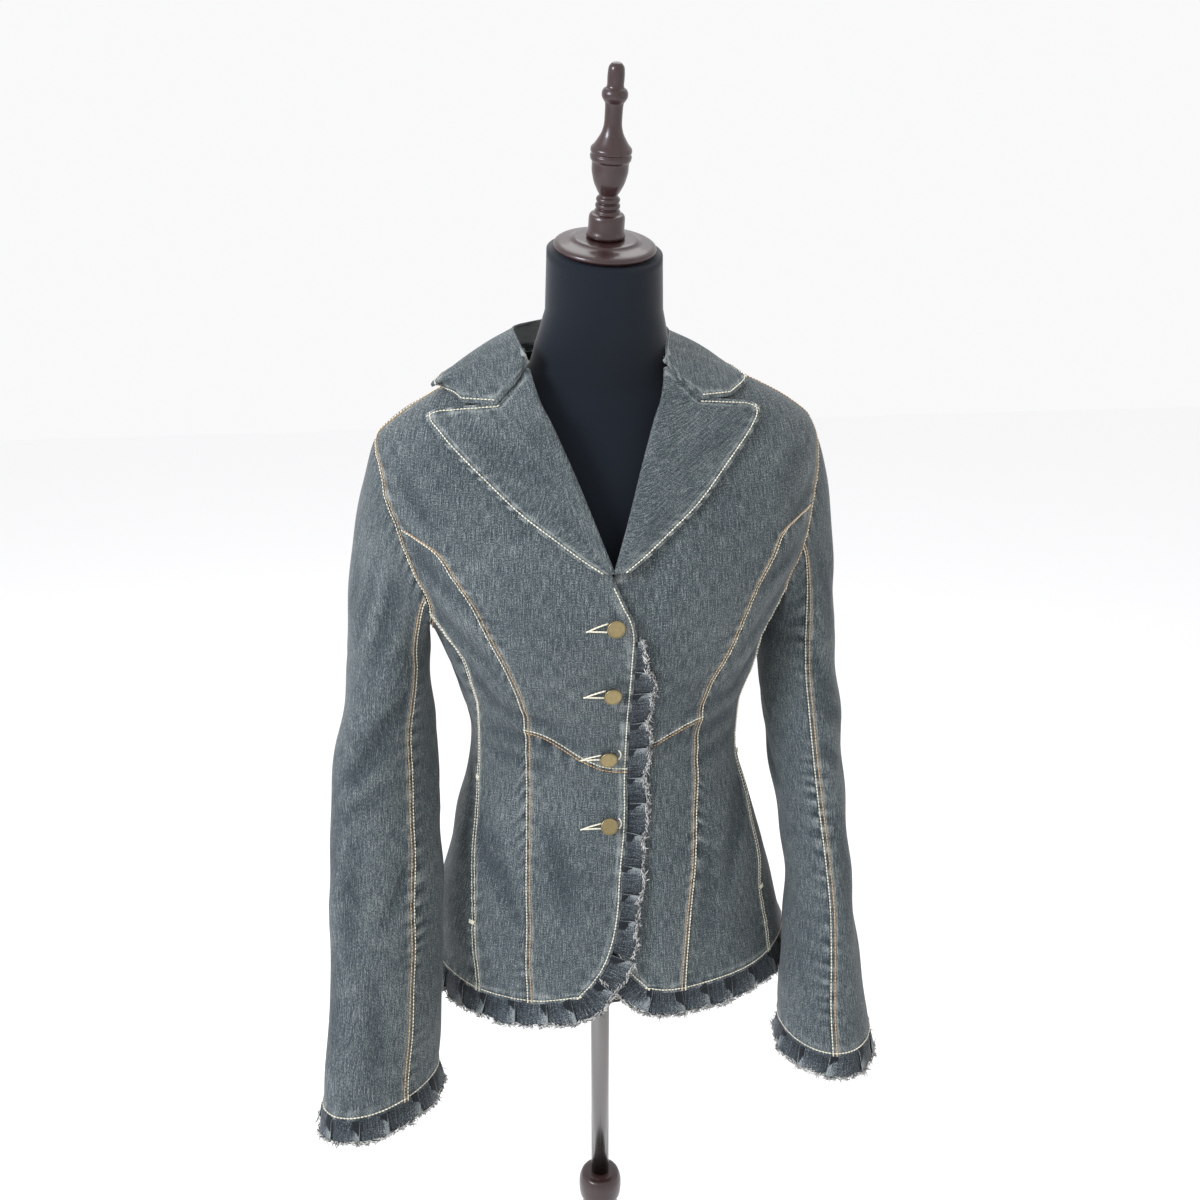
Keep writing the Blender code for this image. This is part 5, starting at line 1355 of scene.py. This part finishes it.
def fringe(name, line, ways, outs):
    run = run_length(line)
    count = int(run[-1] / YARN_SPACING)
    at = np.sort(rng.uniform(0.0, run[-1], count))
    root, way, out = (follow(at, run, values) for values in (line, ways, outs))
    way, out = unit(way), unit(out)
    level = unit(np.cross(way, out))
    clump = np.sin(at * 700.0) + np.sin(at * 1130.0 + 1.0)
    curly = rng.random(count) < CURLY_SHARE
    spread_out = rng.normal(0.0, 0.45, count) + 0.35 * clump
    aim = way + level * spread_out[:, None] + out * rng.normal(0.12, 0.35, count)[:, None]
    along = np.where(rng.random(count) < 0.5, -1.0, 1.0)
    lying = level * along[:, None] + way * rng.normal(0.05, 0.35, count)[:, None]
    lying = lying + out * rng.normal(0.3, 0.4, count)[:, None]
    aim = unit(np.where(curly[:, None], lying, aim))
    length = np.where(curly, rng.uniform(0.0020, 0.0045, count), rng.uniform(0.0012, 0.0042, count))
    root = root + way * np.where(curly, rng.uniform(-0.0014, 0.0020, count), -0.0006)[:, None]
    root = root + out * rng.normal(0.0002, 0.0006, count)[:, None]
    bend = rng.normal(0.0, 0.45, (count, 3)) - out * 0.1
    radius = np.where(curly, rng.uniform(0.00040, 0.00068, count), rng.uniform(0.00016, 0.00028, count))
    points, faces = fibres(root, aim, length, radius, bend)
    tone = np.clip(np.where(rng.random(count) < 0.34, rng.uniform(0.0, 0.30, count),
                            rng.uniform(0.55, 1.0, count)), 0, 1)
    made = mesh_object(name, points, faces, loose_yarn, {"tone": np.repeat(tone, 10)})
    wear_out(made, "frayed_denim")
    print(name, count, "yarns")


for (line, ways, outs), name in zip(FRINGES, ("hem", "front", "cuff_right", "cuff_left")):
    fringe(f"fray_{name}", line, ways, outs)

# %% [markdown]
# ## Topstitching
#
# Beside almost every seam run two rows of thick thread, one cream and one tan, 3.6 mm apart. A stitch
# is a short fat spindle that dips into the cloth at both ends, about eight to the inch. All stitches
# of one colour are joined into one piece.

# %% Rows of stitches
STITCH_PITCH, STITCH_LENGTH, STITCH_RADIUS = 0.0031, 0.0028, 0.00062
ROW_INSET, ROW_GAP, HEM_STITCH, EDGE_STITCH = 0.0014, 0.0036, 0.0030, 0.0036
STITCHES, TONES = {"cream": [], "tan": []}, {"cream": [], "tan": []}


def inset(grid, normals, edge, depth, first=0.0, last=1.0):
    """A line on a grid's own surface, a set distance in from one edge."""
    if edge in ("top", "bottom"):
        grid, normals = grid.transpose(1, 0, 2), normals.transpose(1, 0, 2)
        edge = {"top": "left", "bottom": "right"}[edge]
    if edge == "right":
        grid, normals = grid[:, ::-1], normals[:, ::-1]
    rows = range(int(first * (len(grid) - 1)), int(last * (len(grid) - 1)) + 1)
    line, outs = [], []
    for r in rows:
        away = run_length(grid[r])
        line.append(follow(depth, away, grid[r]))
        outs.append(follow(depth, away, normals[r]))
    return np.array(line), unit(np.array(outs))


def stitch(colour, line, outs, length=STITCH_LENGTH, pitch=STITCH_PITCH, radius=STITCH_RADIUS):
    run = run_length(line)
    count = int(run[-1] / pitch)
    if count < 1:
        return
    at = (np.arange(count) + 0.5) * run[-1] / count
    centre, out = follow(at, run, line), unit(follow(at, run, outs))
    way = unit(follow(at + 0.001, run, line) - follow(at - 0.001, run, line))
    side_way = np.cross(way, out)
    rings = []
    for t, thick, lift in ((-0.5, 0.45, -0.2), (-0.22, 1.0, 0.55), (0.22, 1.0, 0.55), (0.5, 0.45, -0.2)):
        middle = centre + way * (length * t) + out * (radius * lift)
        for a, b in ((1, 0), (0, 1), (-1, 0), (0, -0.6)):
            rings.append(middle + side_way * (a * radius * thick) + out * (b * radius * thick))
    faces = [[r + a, r + (a + 1) % 4, r + 4 + (a + 1) % 4, r + 4 + a] for r in (0, 4, 8) for a in range(4)]
    faces += [[3, 2, 1, 0], [12, 13, 14, 15]]
    STITCHES[colour].append((np.stack(rings, axis=1).reshape(-1, 3), repeated(faces, count, 16)))
    TONES[colour].append(np.repeat(rng.uniform(0.45, 1.0, count), 16))


def double_row(grid, normals, edge, first=0.0, last=1.0, near="cream", far="tan"):
    for colour, distance in ((near, ROW_INSET), (far, ROW_INSET + ROW_GAP)):
        stitch(colour, *inset(grid, normals, edge, distance, first, last))


for side in (-1, 1):
    up, low, flank, rear, back = (PANELS[name, side][:2] for name in
                                  ("front_upper", "front_lower", "front_side", "back_side", "back_centre"))
    double_row(*up, "right", 0.0, 4 / 16)
    double_row(*up, "right", 4 / 16, 7 / 16)
    double_row(*up, "right", 7 / 16 + 0.01, 1.0)
    double_row(*low, "right")
    double_row(*up, "bottom", 0.0, 1.0, near="tan", far="cream")
    double_row(*flank, "top")
    double_row(*flank, "right", near="cream", far="cream")
    double_row(*rear, "top")
    double_row(*back, "left", 4 / 20, 1.0)
    double_row(*back, "right")
    for panel in (low, flank, rear, back):
        stitch("cream", *inset(*panel, "bottom", HEM_STITCH), length=0.0029)
    stitch("cream", *inset(*up, "left", HEM_STITCH, 0.52, 1.0))
    stitch("cream", *inset(*low, "left", HEM_STITCH))
    top, under = SLEEVE_GRIDS["sleeve_top", side][:2], SLEEVE_GRIDS["sleeve_under", side][:2]
    double_row(*top, "right")
    double_row(*top, "left")
    for panel in (top, under):
        stitch("cream", *inset(*panel, "bottom", HEM_STITCH), length=0.0029)
    stitch("cream", *inset(*LAPELS[side], "right", EDGE_STITCH))
    line, outs = inset(*LAPELS[side], "top", EDGE_STITCH)
    free = np.abs(line[:, 0] - CLOSURE_X) > NOTCH[0] - 0.002
    stitch("cream", line[free], outs[free])
stitch("cream", *inset(collar_grid, collar_normals, "right", EDGE_STITCH))
for edge in ("top", "bottom"):
    stitch("cream", *inset(collar_grid, collar_normals, edge, EDGE_STITCH, 4 / 6, 1.0))
print({colour: sum(map(len, tones)) // 16 for colour, tones in TONES.items()}, "stitches")

# %% [markdown]
# ## Bartacks, buttonholes, buttons and pockets
#
# A bartack is a dense bar of thread that stops a pocket's mouth from tearing. Each buttonhole is bound
# with thick cream thread, and the buttons pull it open into a narrow V. The buttons are stamped brass
# discs with a fine rolled rim; the pocket is only a gap in the side seam with a facing behind it,
# painted near black as the shade inside the pocket.

# %% Thread bars and buttonholes
def cord_of_thread(cords, line, radius, twist=9.0):
    """A short piece of thick thread along a line, with the ridges of its twist."""
    line = finer(np.asarray(line, dtype=float), 6)
    way = unit(np.gradient(line, axis=0))
    side_way = unit(np.cross(way, np.array([0.13, -1.0, 0.31])))
    other = np.cross(way, side_way)
    run = run_length(line)
    rings = []
    for k, point in enumerate(line):
        end = min(k, len(line) - 1 - k)
        thick = radius * (0.55 if end == 0 else 1.0) * (1.0 + 0.16 * math.sin(run[k] * 1000.0 * twist))
        angle = even(0.0, 2 * math.pi, 9)[:-1]
        circle = side_way[k] * np.cos(angle)[:, None] + other[k] * np.sin(angle)[:, None]
        rings.append(point + circle * thick)
    cords.append((np.vstack(rings), ring_faces(len(rings), 8)))


bars = []
for side in (-1, 1):
    for z in (SLIT_TOP_Z, SLIT_FOOT_Z):
        turn = float(column(SIDE_SEAM, z, 1))
        for row in range(4):
            line = []
            for step, level in ((-1.5, 0), (0.0, 1), (1.5, 0)):
                point = lean(outline(BODY, side * (turn + step), np.array(z + 0.0009 * row)))
                out = body_normal(side * (turn + step), np.array(z))
                line.append(point + out * (0.0009 + 0.0006 * level))
            cord_of_thread(bars, line, 0.00055)


def front_point(x, z):
    """A point for a buttonhole thread, beside the closure and just proud of the cloth."""
    return on_front(1, np.array(x), np.array(z), HOLE_LIFT)


HOLE_LIFT, HOLE_THREAD, HOLE_TWIST = 0.0012, 0.0007, 6.0
for number, z in enumerate(BUTTON_Z):
    far, gape = (0.0225, 0.0048) if number < 2 else (0.0235, 0.0030)
    for sign in (-1, 1):
        line = []
        for t in (0.25, 0.45, 0.65, 0.85, 1.0, 1.10):
            level = z - 0.0022 * t * t + sign * gape * max(0.0, 1.0 - t) ** 0.8
            line.append(front_point(-far * t, level))
        cord_of_thread(bars, line, HOLE_THREAD, HOLE_TWIST)
    if number > 1:
        line = [front_point(0.0095 + 0.0022 * math.sin(3.1 * t), z + 0.006 - 0.010 * t)
                for t in (0.0, 0.33, 0.66, 1.0)]
        cord_of_thread(bars, line, HOLE_THREAD, HOLE_TWIST)



def joined(parts):
    """Many small meshes as one."""
    firsts = np.cumsum([0] + [len(points) for points, _ in parts]).tolist()
    faces = [[corner + first for corner in face] for (_, rows), first in zip(parts, firsts) for face in rows]
    return np.vstack([points for points, _ in parts]), faces


points, faces = joined(bars)
piece = mesh_object("thread_bars", points, faces, cream_thread, {"tone": 0.7 + 0.3 * rng.random(len(points))})
wear_out(piece, "washed_denim")
for colour, finish in (("cream", cream_thread), ("tan", tan_thread)):
    tones = {"tone": np.concatenate(TONES[colour])}
    piece = mesh_object(f"topstitching_{colour}", *joined(STITCHES[colour]), finish, tones)
    wear_out(piece, "washed_denim")
    print(piece.name, len(piece.data.polygons), "faces")

# %% Buttons
def button_profile():
    face = BUTTON_SHANK + BUTTON_THICK
    rim = BUTTON_RADIUS
    return [(0.0, face - 0.0003), (0.0003, face - 0.0003), (rim * 0.80, face - 0.0003),
            (rim * 0.88, face - 0.0001), (rim * 0.92, face), (rim * 0.97, face - 0.0003),
            (rim, face - 0.0011), (rim * 0.97, face - 0.0019), (rim * 0.90, BUTTON_SHANK),
            (0.0032, BUTTON_SHANK - 0.0002), (0.0030, 0.0006), (0.0, 0.0006)]


def rim_wear(radius):
    """The groove inside a button's rim keeps its dark patina."""
    return np.where(np.abs(radius / BUTTON_RADIUS - 0.86) < 0.025, 0.25, 1.0)


for number, z in enumerate(BUTTON_Z, start=1):
    turn = turn_at(np.array(CLOSURE_X), np.array(z))
    place = Vector(lean(outline(BODY, turn, np.array(z))).tolist())
    facing = Vector(body_normal(turn, np.array(z)).tolist()).to_track_quat("Z", "Y").to_matrix().to_4x4()
    tilt = Matrix.Rotation(math.radians((3.0, -4.0, 5.0, -3.0)[number - 1]), 4, "X")
    piece = turned(f"brass_button_{number}", eased(button_profile(), 1), antique_brass,
                   Matrix.Translation(place) @ facing @ tilt, steps=48, wear_and_shading=rim_wear)
    wear_out(piece, "antique_brass", f"button_{number}")
print("four buttons")

# %% Pocket facings
for side, label in ((-1, "right"), (1, "left")):
    z = even(SLIT_TOP_Z, SLIT_FOOT_Z, 40)[:, None]
    turn = column(SIDE_SEAM, z, 1) + even(-4.0, 4.0, 9)[None]
    grid = lean(outline(BODY, side * turn, z + 0 * turn, -FACING_DROP))
    normals = body_normal(side * turn, z + 0 * turn)
    # The facing is painted near black as the shade inside the pocket.
    piece = shell(f"pocket_facing_{label}_cloth", grid, normals, DENIM * 0.8, pocket_shade_denim,
                  np.full(grid.shape[:2], 0.4))
    wear_out(piece, "frayed_denim", f"pocket_facing_{label}")

# %% [markdown]
# ## Floor, light and camera
#
# The jacket stands on a pale floor that runs into a white background. Light is soft and comes from all
# around, stronger and cooler from the wearer's right, a little warmer from the left. The camera stands
# about a metre away, level with the neck cap, and looks down 17 degrees.

# %% The studio
floor_mesh = bpy.data.meshes.new("floor")
floor_mesh.from_pydata([(-8, -8, 0), (8, -8, 0), (8, 8, 0), (-8, 8, 0)], [], [(0, 1, 2, 3)])
floor_finish, tree, shader = new_material("white paper floor", "#fcfcfc", 0.9, Specular__IOR__Level=0.1)
floor_mesh.materials.append(floor_finish)
floor = bpy.data.objects.new("floor", floor_mesh)
bpy.context.scene.collection.objects.link(floor)

world = bpy.data.worlds.new("studio")
bpy.context.scene.world = world
world.use_nodes = True
world.node_tree.nodes["Background"].inputs["Color"].default_value = linear("#fbfbfc")
world.node_tree.nodes["Background"].inputs["Strength"].default_value = 0.985


def soft_light(name, place, target, size, power, colour):
    data = bpy.data.lights.new(name, "AREA")
    data.shape, data.size, data.energy, data.color = "DISK", size, power, linear(colour)[:3]
    made = bpy.data.objects.new(name, data)
    made.location = place
    made.rotation_euler = (Vector(target) - Vector(place)).to_track_quat("-Z", "Y").to_euler()
    bpy.context.scene.collection.objects.link(made)


soft_light("window", (-2.3, -1.3, 2.2), (0.0, 0.0, 1.0), 1.1, 72.0, "#f0f5ff")
soft_light("warm fill", (2.2, -1.2, 1.6), (0.0, 0.0, 0.9), 1.4, 2.0, "#ffd9b0")
soft_light("top", (0.2, 0.6, 2.9), (0.0, 0.0, 1.1), 1.6, 13.5, "#ffffff")

view = bpy.data.cameras.new("view")
view.lens, view.sensor_width = 34.5, 36.0
camera = bpy.data.objects.new("view", view)
camera.location = (-0.2004, -1.0307, 1.34)
camera.rotation_euler = (math.radians(73.0), 0.0, math.radians(-11.0))
bpy.context.scene.collection.objects.link(camera)
bpy.context.scene.camera = camera
bpy.context.scene.view_settings.view_transform = "Standard"
print("lights:", [made.name for made in bpy.data.lights])
